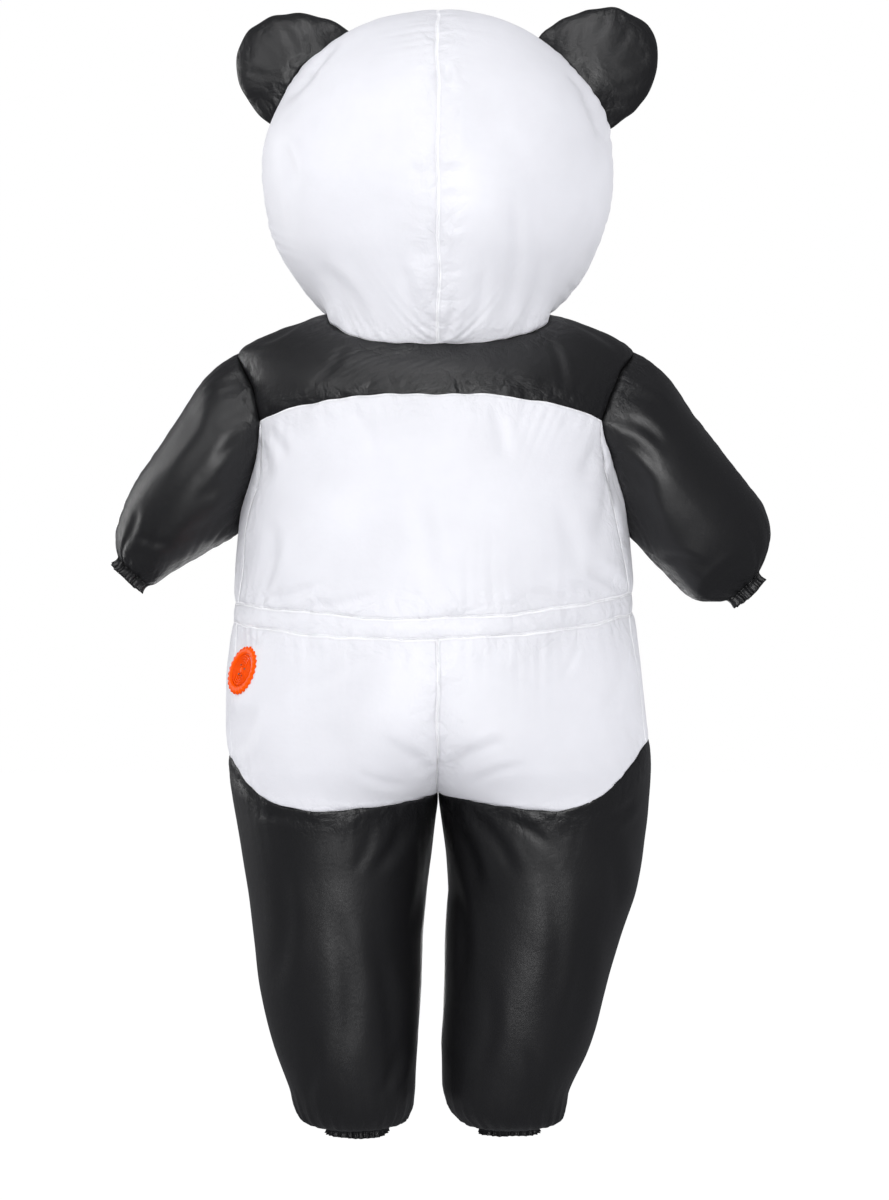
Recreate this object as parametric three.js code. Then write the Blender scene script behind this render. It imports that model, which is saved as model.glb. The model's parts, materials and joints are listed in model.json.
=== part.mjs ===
// Inflatable panda costume as it is worn: a hollow suit of thin taffeta blown up by a small fan.
// Millimetres, +Z up, the front faces -Y and the back faces +Y, +X is the wearer's left.
// Heights in the tables are above the wearer's floor, and the group lowers them to the shoulders.

import * as THREE from 'three';

// Driving sizes
const HOLD_HEIGHT = 1580;
const WALL = 2;
const HALF_GAP = 0.22;
const LAID_ON = 0.6;
const FULL_TURN = 2 * Math.PI;

// Colours of the cloth and the hard pieces
const WHITE = { color: '#eeeef2', roughness: 0.55 };
const BLACK = { color: '#29292c', roughness: 0.5 };
const MESH = { color: '#1c1c1e', roughness: 0.9 };
const ORANGE = { color: '#f06a00', roughness: 0.4 };
const METAL = { color: '#b9bbc0', roughness: 0.3, metalness: 0.9 };

// Front zip and the fan on the left hip
const ZIP_END = 960;
const TAPE_HALF = 13;
const SLIDER = { wide: 14, long: 16, base: 3, lug: 2, lugHeight: 6.4 };
const TAB = { wide: 8, long: 30, thick: 2, clearance: 0.8 };
const FAN = { angle: 0.42, height: 998, radius: 47, scallop: 1.6, teeth: 26, hole: 31, thick: 7, proud: 0.2 };

// Torso sections: reach from the middle to the left, right, back and front at each height
const TORSO = [
  { height: 1030, left: 391, right: 379, back: 296, front: 300 },
  { height: 1117, left: 384, right: 368, back: 290, front: 300 },
  { height: 1215, left: 379, right: 363, back: 290, front: 298 },
  { height: 1300, left: 371, right: 356, back: 284, front: 288 },
  { height: 1373, left: 361, right: 352, back: 276, front: 272 },
  { height: 1440, left: 361, right: 359, back: 266, front: 256 },
  { height: 1500, left: 372, right: 374, back: 252, front: 240 },
  { height: 1551, left: 381, right: 378, back: 228, front: 218 },
  { height: 1600, left: 376, right: 371, back: 182, front: 178 },
  { height: 1640, left: 296, right: 296, back: 150, front: 146 },
  { height: 1671, left: 215, right: 214, back: 126, front: 122 },
];

// Seat and leg sections: split is a leg's inner reach over its outer reach, -1 where both sides
// are one tube and above 0 where the legs are two
const TROUSERS = [
  { height: 1130, left: 383, right: 367, splitLeft: -1, splitRight: -1, back: 290, front: 300 },
  { height: 1045, left: 391, right: 377, splitLeft: -1, splitRight: -1, back: 297, front: 298 },
  { height: 980, left: 398, right: 385, splitLeft: -0.88, splitRight: -0.88, back: 302, front: 290 },
  { height: 900, left: 399, right: 393, splitLeft: -0.6, splitRight: -0.6, back: 296, front: 276 },
  { height: 830, left: 395, right: 401, splitLeft: -0.28, splitRight: -0.28, back: 270, front: 252 },
  { height: 767, left: 389, right: 399, splitLeft: 0.004, splitRight: 0.004, back: 232, front: 228 },
  { height: 649, left: 369, right: 387, splitLeft: 0.044, splitRight: 0.044, back: 206, front: 206 },
  { height: 577, left: 358, right: 374, splitLeft: 0.07, splitRight: 0.062, back: 196, front: 196 },
  { height: 486, left: 347, right: 345, splitLeft: 0.09, splitRight: 0.052, back: 184, front: 184 },
  { height: 395, left: 334, right: 316, splitLeft: 0.102, splitRight: 0.045, back: 172, front: 172 },
  { height: 287, left: 310, right: 288, splitLeft: 0.129, splitRight: 0.034, back: 154, front: 154 },
  { height: 200, left: 280, right: 249, splitLeft: 0.164, splitRight: 0.05, back: 130, front: 130 },
  { height: 165, left: 270, right: 242, splitLeft: 0.19, splitRight: 0.09, back: 115, front: 115 },
  { height: 140, left: 251, right: 229, splitLeft: 0.25, splitRight: 0.2, back: 90, front: 90 },
  { height: 132, left: 214, right: 194, splitLeft: 0.44, splitRight: 0.4, back: 60, front: 60 },
];

// Sleeve sections from the armhole to the wrist: the top and low edges seen from behind
const SLEEVE_LEFT = [
  { topX: 377, topZ: 1600, lowX: 374, lowZ: 1256, depth: 148 },
  { topX: 432, topZ: 1555, lowX: 400, lowZ: 1242, depth: 163 },
  { topX: 476, topZ: 1497, lowX: 432, lowZ: 1227, depth: 148 },
  { topX: 524, topZ: 1424, lowX: 466, lowZ: 1208, depth: 130 },
  { topX: 573, topZ: 1347, lowX: 498, lowZ: 1188, depth: 106 },
  { topX: 600, topZ: 1288, lowX: 522, lowZ: 1170, depth: 82 },
  { topX: 610, topZ: 1246, lowX: 538, lowZ: 1160, depth: 62 },
  { topX: 604, topZ: 1214, lowX: 550, lowZ: 1158, depth: 46 },
];
const SLEEVE_RIGHT = [
  { topX: 371, topZ: 1600, lowX: 357, lowZ: 1256, depth: 148 },
  { topX: 424, topZ: 1558, lowX: 378, lowZ: 1236, depth: 158 },
  { topX: 468, topZ: 1500, lowX: 406, lowZ: 1206, depth: 154 },
  { topX: 518, topZ: 1434, lowX: 436, lowZ: 1178, depth: 138 },
  { topX: 574, topZ: 1364, lowX: 464, lowZ: 1150, depth: 118 },
  { topX: 618, topZ: 1302, lowX: 486, lowZ: 1132, depth: 94 },
  { topX: 630, topZ: 1246, lowX: 506, lowZ: 1126, depth: 68 },
  { topX: 608, topZ: 1184, lowX: 548, lowZ: 1128, depth: 46 },
];

// Head: a ball a little taller below its widest height than above it
const HEAD = { middle: 1940, side: 327, back: 316, front: 322, above: 311, below: 352 };
const EARS = [
  { side: 1, x: 277, z: 2137, radius: 104, baseHigh: 0.5, baseLow: 1.27 },
  { side: -1, x: 313, z: 2150, radius: 104, baseHigh: 0.6, baseLow: 1.3 },
];
// Ovals sewn on the face: place on the head, half sizes, and how many layers of cloth lie under
const FACE = [
  { name: 'eye_patch_left', look: 'BLACK', angle: -1.2, polar: 1.42, wide: 50, tall: 70, lean: 0.5, layer: 0 },
  { name: 'eye_patch_right', look: 'BLACK', angle: -1.94, polar: 1.42, wide: 50, tall: 70, lean: -0.5, layer: 0 },
  { name: 'eye_left', look: 'WHITE', angle: -1.22, polar: 1.38, wide: 18, tall: 24, lean: 0.2, layer: 1 },
  { name: 'eye_right', look: 'WHITE', angle: -1.92, polar: 1.38, wide: 18, tall: 24, lean: -0.2, layer: 1 },
  { name: 'nose', look: 'BLACK', angle: -1.57, polar: 1.7, wide: 34, tall: 22, lean: 0, layer: 0 },
  { name: 'vision_window', look: 'MESH', angle: -1.57, polar: 1.95, wide: 84, tall: 34, lean: 0, layer: 0 },
];
const EAR_BASE_BOW = 0.2;
const EAR_BULGE = 46;

// Seams on the torso: angles in radians from the wearer's side, heights above the floor
const SIDE_SEAM = 0.25;
const ARMHOLE = { corner: 1462, above: 138, below: 206, halfAngle: 0.6, taper: 0.8 };
const YOKE_CORNER = Math.PI / 2;
const YOKE_MIDDLE = 1505;
const NECK_SIDE = 1671;
const NECK_DIP = 66;
const NECK_AT_CORNER = 0.95;
const BAND_HALF = 19;
const WAIST = { side: 1117, slant: 8, dip: 34 };
const LEG_SEAM = { left: 842, right: 868, middle: 752, curve: 1.6 };
const CROTCH = 767;
const GATHER = 3;
const ANKLE_CUFF = 16;
const WRIST_CUFF = 20;
const SLEEVE_LENGTH = 450;
const NECK_BLEND = 2.1;
const EAR_ROOT = 0.25;

// How many cells each stretch of cloth is divided into
const CELLS = {
  armholeHigh: 5, armholeLow: 10, yokeBack: 16, yokeFront: 6, yokeRise: 4,
  torsoRise: 7, seatRise: 7, legRise: 8, sleeveRun: 9, crown: 3, earRun: 8, cheek: 7, earRise: 5,
};
const FRONT_CELLS = CELLS.armholeLow + CELLS.yokeFront;
const HEM_HEIGHTS = [132, 139, 150, 170, 205];

// Largest folds, pressed in along the inward direction: where, how long, wide and deep
const TORSO_FOLDS = [
  { angle: 1.0, height: 1370, lean: 0.9, length: 150, width: 44, depth: 9 },
  { angle: 2.1, height: 1380, lean: -0.8, length: 170, width: 46, depth: 10 },
  { angle: 1.25, height: 1180, lean: 0.3, length: 210, width: 50, depth: 6 },
  { angle: 2.0, height: 1200, lean: -0.4, length: 190, width: 50, depth: 6 },
  { angle: -1.0, height: 1350, lean: 0.9, length: 160, width: 46, depth: 9 },
  { angle: -2.1, height: 1360, lean: -0.9, length: 150, width: 44, depth: 9 },
];
const LEG_FOLDS = {
  left: [
    { angle: 0.65, height: 800, lean: 0.8, length: 170, width: 46, depth: 11 },
    { angle: 2.3, height: 700, lean: 0.7, length: 180, width: 44, depth: 9 },
    { angle: 1.2, height: 420, lean: 0.2, length: 300, width: 44, depth: 6 },
    { angle: 2.2, height: 300, lean: -0.4, length: 200, width: 42, depth: 7 },
    { angle: -1.9, height: 640, lean: -0.6, length: 190, width: 44, depth: 8 },
    { angle: -0.9, height: 360, lean: 0.4, length: 240, width: 44, depth: 7 },
  ],
  right: [
    { angle: 2.4, height: 690, lean: 0.9, length: 200, width: 46, depth: 11 },
    { angle: 0.8, height: 720, lean: 0.6, length: 160, width: 44, depth: 8 },
    { angle: 1.5, height: 380, lean: -0.2, length: 280, width: 44, depth: 7 },
    { angle: 0.7, height: 260, lean: 0.5, length: 190, width: 42, depth: 7 },
    { angle: -2.1, height: 620, lean: 0.6, length: 190, width: 44, depth: 8 },
    { angle: -1.0, height: 340, lean: -0.3, length: 240, width: 44, depth: 7 },
  ],
};

const SLEEVE_FOLDS = [
  { angle: 2.1, height: 135, lean: 0.5, length: 130, width: 34, depth: 8 },
  { angle: 1.3, height: 120, lean: 0.3, length: 110, width: 32, depth: 7 },
  { angle: 0.6, height: 190, lean: -0.5, length: 150, width: 34, depth: 6 },
  { angle: 1.9, height: 260, lean: 0.4, length: 140, width: 34, depth: 6 },
  { angle: -1.9, height: 135, lean: 0.5, length: 130, width: 34, depth: 8 },
  { angle: -0.9, height: 230, lean: -0.4, length: 150, width: 34, depth: 6 },
];

// Smooth and straight readings of a table
function slopeAt(table, row, key) {
  const before = table[Math.max(0, row - 1)];
  const after = table[Math.min(table.length - 1, row + 1)];
  const run = after.place - before.place;
  return (after[key] - before[key]) / run;
}

function withPlaces(table) {
  return table.map((row, index) => ({ ...row, place: row.height ?? index }))
    .sort((one, other) => one.place - other.place);
}

const SMOOTH_TABLES = new Map();

function readSmooth(table, place, key) {
  if (!SMOOTH_TABLES.has(table)) {
    SMOOTH_TABLES.set(table, withPlaces(table));
  }
  const rows = SMOOTH_TABLES.get(table);
  const held = THREE.MathUtils.clamp(place, rows[0].place, rows[rows.length - 1].place);
  let low = 0;
  while (low < rows.length - 2 && held > rows[low + 1].place) {
    low += 1;
  }
  const run = rows[low + 1].place - rows[low].place;
  const t = (held - rows[low].place) / run;
  if (key.startsWith('split')) {
    return THREE.MathUtils.lerp(rows[low][key], rows[low + 1][key], t);
  }
  const t2 = t * t;
  const t3 = t2 * t;
  return (2 * t3 - 3 * t2 + 1) * rows[low][key]
    + (t3 - 2 * t2 + t) * run * slopeAt(rows, low, key)
    + (3 * t2 - 2 * t3) * rows[low + 1][key]
    + (t3 - t2) * run * slopeAt(rows, low + 1, key);
}

// How far the folds press a place in: round troughs that fade at their ends
function foldDepth(folds, angle, height, reach) {
  let depth = 0;
  for (const fold of folds) {
    const across = (angle - fold.angle) * reach;
    const up = height - fold.height;
    const along = (up + across * fold.lean) / Math.hypot(1, fold.lean);
    const aside = (across - up * fold.lean) / Math.hypot(1, fold.lean);
    const end = Math.max(0, 1 - (along / (fold.length / 2)) ** 2);
    depth += fold.depth * end * Math.exp(-((aside / (fold.width / 2)) ** 2));
  }
  return depth;
}

// A point on the torso: angle 0 is the wearer's left side, a quarter turn is the back
function torsoPoint(angle, height) {
  const sideReach = readSmooth(TORSO, height, Math.cos(angle) >= 0 ? 'left' : 'right');
  const depthReach = readSmooth(TORSO, height, Math.sin(angle) >= 0 ? 'back' : 'front');
  const turned = angle > Math.PI ? angle - FULL_TURN : angle;
  const pressed = foldDepth(TORSO_FOLDS, turned, height, sideReach);
  return new THREE.Vector3(
    (sideReach - pressed) * Math.cos(angle),
    (depthReach - pressed) * Math.sin(angle),
    height,
  );
}

// A point on the seat or a leg: angle 0 is the outer side, a quarter turn is the back
function trouserPoint(side, angle, height) {
  const name = side > 0 ? 'Left' : 'Right';
  const outer = readSmooth(TROUSERS, height, name.toLowerCase());
  const inner = outer * readSmooth(TROUSERS, height, `split${name}`);
  const middle = (outer + inner) / 2;
  const half = (outer - inner) / 2;
  const depthReach = readSmooth(TROUSERS, height, Math.sin(angle) >= 0 ? 'back' : 'front');
  const fade = THREE.MathUtils.smoothstep(middle + half * Math.cos(angle), 0, 60);
  const pressed = fade * foldDepth(LEG_FOLDS[name.toLowerCase()], angle, height, half);
  return new THREE.Vector3(
    side * (middle + (half - pressed) * Math.cos(angle)),
    (depthReach - pressed) * Math.sin(angle),
    height,
  );
}

// The angle where a seat half reaches the middle of the body
function middleAngle(height) {
  const split = readSmooth(TROUSERS, height, 'splitLeft');
  return Math.acos(Math.max(-1, -(1 + split) / (1 - split)));
}

// Seam heights round the body
const waistHeight = (angle) => (
  WAIST.side - WAIST.slant * Math.cos(angle) - WAIST.dip * Math.sin(angle) ** 2);
const neckHeight = (angle) => NECK_SIDE - NECK_DIP * Math.sin(angle) ** 2;

function legSeamHeight(side, angle) {
  const outerSide = side > 0 ? LEG_SEAM.left : LEG_SEAM.right;
  const outward = Math.max(0, Math.cos(angle)) ** LEG_SEAM.curve;
  const under = THREE.MathUtils.lerp(LEG_SEAM.middle, CROTCH, Math.max(0, -Math.cos(angle)));
  return THREE.MathUtils.lerp(under, outerSide, outward);
}

// The armhole: turn 0 is the shoulder, a quarter turn is its corner with the yoke's seam at the back
function armholePlace(side, turn) {
  const rise = Math.cos(turn);
  const narrow = rise >= 0 ? Math.abs(Math.sin(turn)) : (1 + rise) ** ARMHOLE.taper;
  const swing = ARMHOLE.halfAngle * narrow * Math.sign(Math.sin(turn));
  return {
    angle: side > 0 ? swing : Math.PI - swing,
    height: ARMHOLE.corner + rise * (rise >= 0 ? ARMHOLE.above : ARMHOLE.below),
  };
}

// A grid of points: columns across and rows up, each place between 0 and 1
function gridOf(columns, rows, pointAt) {
  const grid = [];
  for (let column = 0; column <= columns; column += 1) {
    const line = [];
    for (let row = 0; row <= rows; row += 1) {
      line.push(pointAt(column / columns, row / rows, column, row));
    }
    grid.push(line);
  }
  return grid;
}

// Panels are kept until all are known, so that neighbours share one direction at each seam
const PANELS = [];

function addPanel(name, look, core, grid, extra = {}) {
  PANELS.push({ name, look, core, grid, closed: false, lift: 0, ...extra });
}

const nearestKey = (point) => [point.x, point.y, point.z].map((part) => Math.round(part * 50)).join();

// The four edges of a grid, each a list of points with the line of points next to it
function gridEdges(grid) {
  const columns = grid.length - 1;
  const rows = grid[0].length - 1;
  const line = (column) => grid[column];
  const row = (index) => grid.map((points) => points[index]);
  return {
    first: { edge: line(0), next: line(1) },
    last: { edge: line(columns), next: line(columns - 1) },
    low: { edge: row(0), next: row(1) },
    high: { edge: row(rows), next: row(rows - 1) },
  };
}

const isPoint = (edge) => edge.every((point) => point.distanceTo(edge[0]) < 0.01);

function meanOf(vectors) {
  const sum = new THREE.Vector3();
  vectors.forEach((vector) => sum.add(vector));
  return sum.normalize();
}

// Normals of one grid, turned away from the panel's core
function gridNormals({ grid, core }) {
  const columns = grid.length - 1;
  const rows = grid[0].length - 1;
  const normals = grid.map((line, column) => line.map((point, row) => {
    const across = grid[Math.min(columns, column + 1)][row].clone()
      .sub(grid[Math.max(0, column - 1)][row]);
    const up = grid[column][Math.min(rows, row + 1)].clone().sub(grid[column][Math.max(0, row - 1)]);
    return across.cross(up).normalize();
  }));
  const middleColumn = Math.floor(columns / 2);
  const middleRow = Math.floor(rows / 2);
  const outward = grid[middleColumn][middleRow].clone().sub(core);
  const facing = normals[middleColumn][middleRow].dot(outward) < 0 ? -1 : 1;
  normals.flat().forEach((normal) => normal.multiplyScalar(facing));
  const points = gridEdges(grid);
  const directions = gridEdges(normals);
  for (const name of Object.keys(points)) {
    if (isPoint(points[name].edge)) {
      const mean = meanOf(directions[name].next);
      directions[name].edge.forEach((normal) => normal.copy(mean));
    }
  }
  return normals;
}

// Each point's normal becomes the mean of those that neighbours have there, unless they oppose it
function shareNormals() {
  const shared = new Map();
  for (const panel of PANELS) {
    panel.normals = gridNormals(panel);
    panel.grid.forEach((line, column) => line.forEach((point, row) => {
      const key = nearestKey(point);
      if (!shared.has(key)) {
        shared.set(key, []);
      }
      shared.get(key).push(panel.normals[column][row].clone());
    }));
  }
  for (const panel of PANELS) {
    panel.normals = panel.grid.map((line, column) => line.map((point, row) => {
      const own = panel.normals[column][row];
      const sum = new THREE.Vector3();
      shared.get(nearestKey(point)).filter((other) => other.dot(own) > -0.8)
        .forEach((other) => sum.add(other));
      return sum.normalize();
    }));
  }
}

// Draw the panel's edges back from its seams by half the gap between pieces
function drawnBack({ grid, closed }) {
  const moved = grid.map((line) => line.map((point) => point.clone()));
  const from = gridEdges(grid);
  const to = gridEdges(moved);
  for (const name of Object.keys(from)) {
    const { edge, next } = from[name];
    if (closed && (name === 'first' || name === 'last' || isPoint(edge))) {
      continue;
    }
    const pulls = edge.map((point, index) => next[index].clone().sub(point).normalize());
    const mean = meanOf(pulls);
    edge.forEach((point, index) => {
      const collapsed = isPoint(edge);
      to[name].edge[index].addScaledVector(collapsed ? mean : pulls[index], HALF_GAP * (collapsed ? 2 : 1));
    });
  }
  return moved;
}

// A closed wall of cloth from its outer points and the direction out at each
function wallGeometry(outer, normals, closed = false) {
  const inner = outer.map((line, column) => line.map((point, row) => (
    point.clone().addScaledVector(normals[column][row], -WALL))));
  const positions = [];
  const columns = outer.length - 1;
  const rows = outer[0].length - 1;
  const addTriangle = (a, b, c) => {
    const area = b.clone().sub(a).cross(c.clone().sub(a)).length();
    const shortest = Math.min(a.distanceTo(b), b.distanceTo(c), c.distanceTo(a));
    if (shortest > 0.002 && area > 0) {
      positions.push(...a.toArray(), ...b.toArray(), ...c.toArray());
    }
  };
  const addQuad = (a, b, c, d) => {
    addTriangle(a, b, c);
    addTriangle(a, c, d);
  };
  for (let i = 0; i < columns; i += 1) {
    for (let j = 0; j < rows; j += 1) {
      addQuad(outer[i][j], outer[i + 1][j], outer[i + 1][j + 1], outer[i][j + 1]);
      addQuad(inner[i][j], inner[i][j + 1], inner[i + 1][j + 1], inner[i + 1][j]);
    }
    addQuad(outer[i][0], inner[i][0], inner[i + 1][0], outer[i + 1][0]);
    addQuad(outer[i][rows], outer[i + 1][rows], inner[i + 1][rows], inner[i][rows]);
  }
  if (!closed) {
    for (let j = 0; j < rows; j += 1) {
      addQuad(outer[0][j], outer[0][j + 1], inner[0][j + 1], inner[0][j]);
      addQuad(outer[columns][j], inner[columns][j], inner[columns][j + 1], outer[columns][j + 1]);
    }
  }
  let volume = 0;
  for (let at = 0; at < positions.length; at += 9) {
    const [a, b, c] = [0, 3, 6].map((step) => new THREE.Vector3().fromArray(positions, at + step));
    volume += a.dot(b.cross(c));
  }
  if (volume < 0) {
    for (let at = 0; at < positions.length; at += 9) {
      const second = positions.slice(at + 3, at + 6);
      const third = positions.slice(at + 6, at + 9);
      positions.splice(at + 3, 6, ...third, ...second);
    }
  }
  const geometry = new THREE.BufferGeometry();
  geometry.setAttribute('position', new THREE.Float32BufferAttribute(positions, 3));
  geometry.computeVertexNormals();
  return geometry;
}

// Torso: a curve on it is a list of places, each an angle and a height
const placePoint = (place) => torsoPoint(place.angle, place.height);
const betweenPlaces = (one, other, t) => ({
  angle: THREE.MathUtils.lerp(one.angle, other.angle, t),
  height: THREE.MathUtils.lerp(one.height, other.height, t),
});

function curvePlaces(count, placeAt) {
  return Array.from({ length: count + 1 }, (_, index) => placeAt(index / count));
}

// Panel between two curves of equal count on the torso
function torsoPanel(name, look, lowCurve, highCurve, rise) {
  const grid = gridOf(lowCurve.length - 1, rise, (across, up, column) => (
    placePoint(betweenPlaces(lowCurve[column], highCurve[column], up))));
  addPanel(name, look, new THREE.Vector3(0, 0, 1350), grid);
}

// Angle of a column at the neck, counted from the shoulder to the middle of the back or front
function neckColumnAngle(column, columns) {
  const high = CELLS.armholeHigh;
  return column <= high
    ? NECK_AT_CORNER * column / high
    : THREE.MathUtils.lerp(NECK_AT_CORNER, Math.PI / 2, (column - high) / (columns - high));
}

function addTorso() {
  const corner = armholePlace(1, YOKE_CORNER);
  const frontCorner = armholePlace(1, -YOKE_CORNER);
  const yokeHeight = (angle, from) => THREE.MathUtils.lerp(from, YOKE_MIDDLE,
    1 - ((Math.PI / 2 - Math.abs(angle)) / (Math.PI / 2 - corner.angle)) ** 2);
  const backSeam = curvePlaces(CELLS.yokeBack, (t) => {
    const angle = THREE.MathUtils.lerp(corner.angle, Math.PI - corner.angle, t);
    return { angle, height: yokeHeight(angle, corner.height) };
  });
  const lowWaist = (angle) => ({ angle, height: waistHeight(angle) + BAND_HALF });
  const backLow = backSeam.map((_, index) => lowWaist(
    THREE.MathUtils.lerp(SIDE_SEAM, Math.PI - SIDE_SEAM, index / CELLS.yokeBack)));
  torsoPanel('back_panel', WHITE, backLow, backSeam, CELLS.torsoRise);

  const highArm = (side, way) => curvePlaces(CELLS.armholeHigh, (t) => (
    armholePlace(side, way * YOKE_CORNER * t)));
  const yokeLow = [
    ...highArm(1, 1).slice(0, -1),
    ...backSeam,
    ...highArm(-1, 1).slice(0, -1).reverse(),
  ];
  const neckPlace = (angle) => ({ angle, height: neckHeight(angle) });
  const halfBack = (yokeLow.length - 1) / 2;
  const backNeck = yokeLow.map((_, column) => neckPlace(column <= halfBack
    ? neckColumnAngle(column, halfBack)
    : Math.PI - neckColumnAngle(2 * halfBack - column, halfBack)));
  torsoPanel('yoke_back', BLACK, yokeLow, backNeck, CELLS.yokeRise);

  for (const side of [1, -1]) {
    const name = side > 0 ? 'left' : 'right';
    const turned = (angle) => (side > 0 ? angle : Math.PI - angle);
    const seam = curvePlaces(CELLS.yokeFront, (t) => {
      const angle = THREE.MathUtils.lerp(frontCorner.angle, -Math.PI / 2, t);
      return { angle: turned(angle), height: yokeHeight(angle, frontCorner.height) };
    });
    const shoulder = highArm(side, -1).slice(0, -1);
    const low = [...shoulder, ...seam];
    const neck = low.map((_, column) => neckPlace(
      turned(-neckColumnAngle(column, low.length - 1))));
    torsoPanel(`yoke_front_${name}`, BLACK, low, neck, CELLS.yokeRise);

    const underarm = curvePlaces(CELLS.armholeLow, (t) => (
      armholePlace(side, THREE.MathUtils.lerp(YOKE_CORNER, FULL_TURN - YOKE_CORNER, t))));
    const high = [...underarm.slice(0, -1), ...seam];
    const waist = high.map((_, index) => lowWaist(
      turned(THREE.MathUtils.lerp(SIDE_SEAM, -Math.PI / 2, index / (high.length - 1)))));
    torsoPanel(`front_${name}`, WHITE, waist, high, CELLS.torsoRise);
  }
}

// The seam between the waist band and the hips, on the trousers' surface
function hipTopPoint(angle) {
  const side = Math.cos(angle) >= 0 ? 1 : -1;
  const own = side > 0 ? angle : Math.PI - angle;
  return trouserPoint(side, own, waistHeight(angle) - BAND_HALF);
}

// Waist band: one strip round the body from the front middle, sharing the panels' columns
function addWaistBand() {
  const angles = [];
  for (let i = 0; i <= FRONT_CELLS; i += 1) {
    angles.push(THREE.MathUtils.lerp(-Math.PI / 2, SIDE_SEAM, i / FRONT_CELLS));
  }
  for (let i = 1; i < CELLS.yokeBack; i += 1) {
    angles.push(THREE.MathUtils.lerp(SIDE_SEAM, Math.PI - SIDE_SEAM, i / CELLS.yokeBack));
  }
  for (let i = FRONT_CELLS; i >= 0; i -= 1) {
    angles.push(Math.PI - THREE.MathUtils.lerp(-Math.PI / 2, SIDE_SEAM, i / FRONT_CELLS));
  }
  const grid = gridOf(angles.length - 1, 1, (across, up, column) => (
    up > 0
      ? torsoPoint(angles[column], waistHeight(angles[column]) + BAND_HALF)
      : hipTopPoint(angles[column])));
  addPanel('waist_band', WHITE, new THREE.Vector3(0, 0, 1100), grid);
}

// Seat and hip fronts: each half runs from the side seam to the middle and the crotch
function addHips(side) {
  const name = side > 0 ? 'left' : 'right';
  for (const way of [1, -1]) {
    const columns = way > 0 ? CELLS.yokeBack / 2 : FRONT_CELLS;
    const grid = gridOf(columns, CELLS.seatRise, (across, up) => {
      const topAngle = THREE.MathUtils.lerp(SIDE_SEAM, way * Math.PI / 2, across);
      const lowAngle = THREE.MathUtils.lerp(SIDE_SEAM, way * Math.PI, across);
      const top = waistHeight(side > 0 ? topAngle : Math.PI - topAngle) - BAND_HALF;
      const height = THREE.MathUtils.lerp(legSeamHeight(side, lowAngle), top, up);
      const middleTop = waistHeight(Math.PI / 2) - BAND_HALF;
      const middleHeight = THREE.MathUtils.lerp(CROTCH, middleTop, up);
      const angle = THREE.MathUtils.lerp(SIDE_SEAM, way * middleAngle(middleHeight), across);
      return trouserPoint(side, angle, height);
    });
    const piece = way > 0 ? `seat_${name}` : `hip_front_${name}`;
    addPanel(piece, WHITE, new THREE.Vector3(side * 100, 0, 900), grid);
  }
}

// Gathers: every second column stands out a little from the middle of its ring
function gathered(point, middle, column, amount) {
  const out = point.clone().sub(middle).normalize();
  return point.clone().addScaledVector(out, column % 2 === 0 ? amount : -amount);
}

// A leg: one tube from the seat's seam down to the hem, which turns in to the ankle
function legAngles() {
  const backCells = CELLS.yokeBack / 2;
  const angles = [];
  for (let i = 0; i <= backCells; i += 1) {
    angles.push(THREE.MathUtils.lerp(SIDE_SEAM, Math.PI, i / backCells));
  }
  for (let i = 1; i <= FRONT_CELLS; i += 1) {
    angles.push(THREE.MathUtils.lerp(-Math.PI, SIDE_SEAM, i / FRONT_CELLS));
  }
  return angles;
}

function ankleMiddle(side, height) {
  const one = trouserPoint(side, 0, height);
  return one.add(trouserPoint(side, Math.PI, height)).multiplyScalar(0.5);
}

function addLeg(side) {
  const name = side > 0 ? 'left' : 'right';
  const angles = legAngles();
  const hemRows = HEM_HEIGHTS.length - 1;
  const rows = hemRows + CELLS.legRise;
  const grid = gridOf(angles.length - 1, rows, (across, up, column, row) => {
    const top = legSeamHeight(side, angles[column]);
    const height = row <= hemRows
      ? HEM_HEIGHTS[row]
      : THREE.MathUtils.lerp(HEM_HEIGHTS[hemRows], top, (row - hemRows) / CELLS.legRise);
    const point = trouserPoint(side, angles[column], height);
    const amount = row < hemRows ? GATHER * (1 - row / hemRows) : 0;
    return gathered(point, ankleMiddle(side, height), column, amount);
  });
  addPanel(`leg_${name}`, BLACK, ankleMiddle(side, 500), grid, { closed: true });

  const cuff = gridOf(angles.length - 1, 2, (across, up, column, row) => {
    const middle = ankleMiddle(side, HEM_HEIGHTS[0]);
    const point = grid[column][0].clone();
    point.z -= row * ANKLE_CUFF / 2;
    middle.z = point.z;
    return row === 0 ? point : gathered(point, middle, column, -GATHER * (row - 1.4));
  });
  const core = ankleMiddle(side, HEM_HEIGHTS[0]);
  addPanel(`ankle_cuff_${name}`, BLACK, core, cuff, { closed: true });
}

// Sleeves: a back and a front half that meet at the shoulder and under the arm
function sleeveSection(table, run) {
  const place = run * (table.length - 1);
  const read = (key) => readSmooth(table, place, key);
  const top = new THREE.Vector2(read('topX'), read('topZ'));
  const low = new THREE.Vector2(read('lowX'), read('lowZ'));
  return { middle: top.clone().add(low).multiplyScalar(0.5), half: top.sub(low).multiplyScalar(0.5),
    depth: read('depth') };
}

function sleevePoint(side, turn, run) {
  const table = side > 0 ? SLEEVE_LEFT : SLEEVE_RIGHT;
  const ring = (at) => {
    const { middle, half, depth } = sleeveSection(table, at);
    const pressed = 1 - foldDepth(SLEEVE_FOLDS, turn, at * SLEEVE_LENGTH, depth) / depth;
    return new THREE.Vector3(
      side * (middle.x + half.x * Math.cos(turn) * pressed),
      depth * Math.sin(turn) * pressed,
      middle.y + half.y * Math.cos(turn) * pressed,
    );
  };
  const root = placePoint(armholePlace(side, turn)).sub(ring(0));
  return ring(run).addScaledVector(root, (1 - run) ** 4);
}

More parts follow.
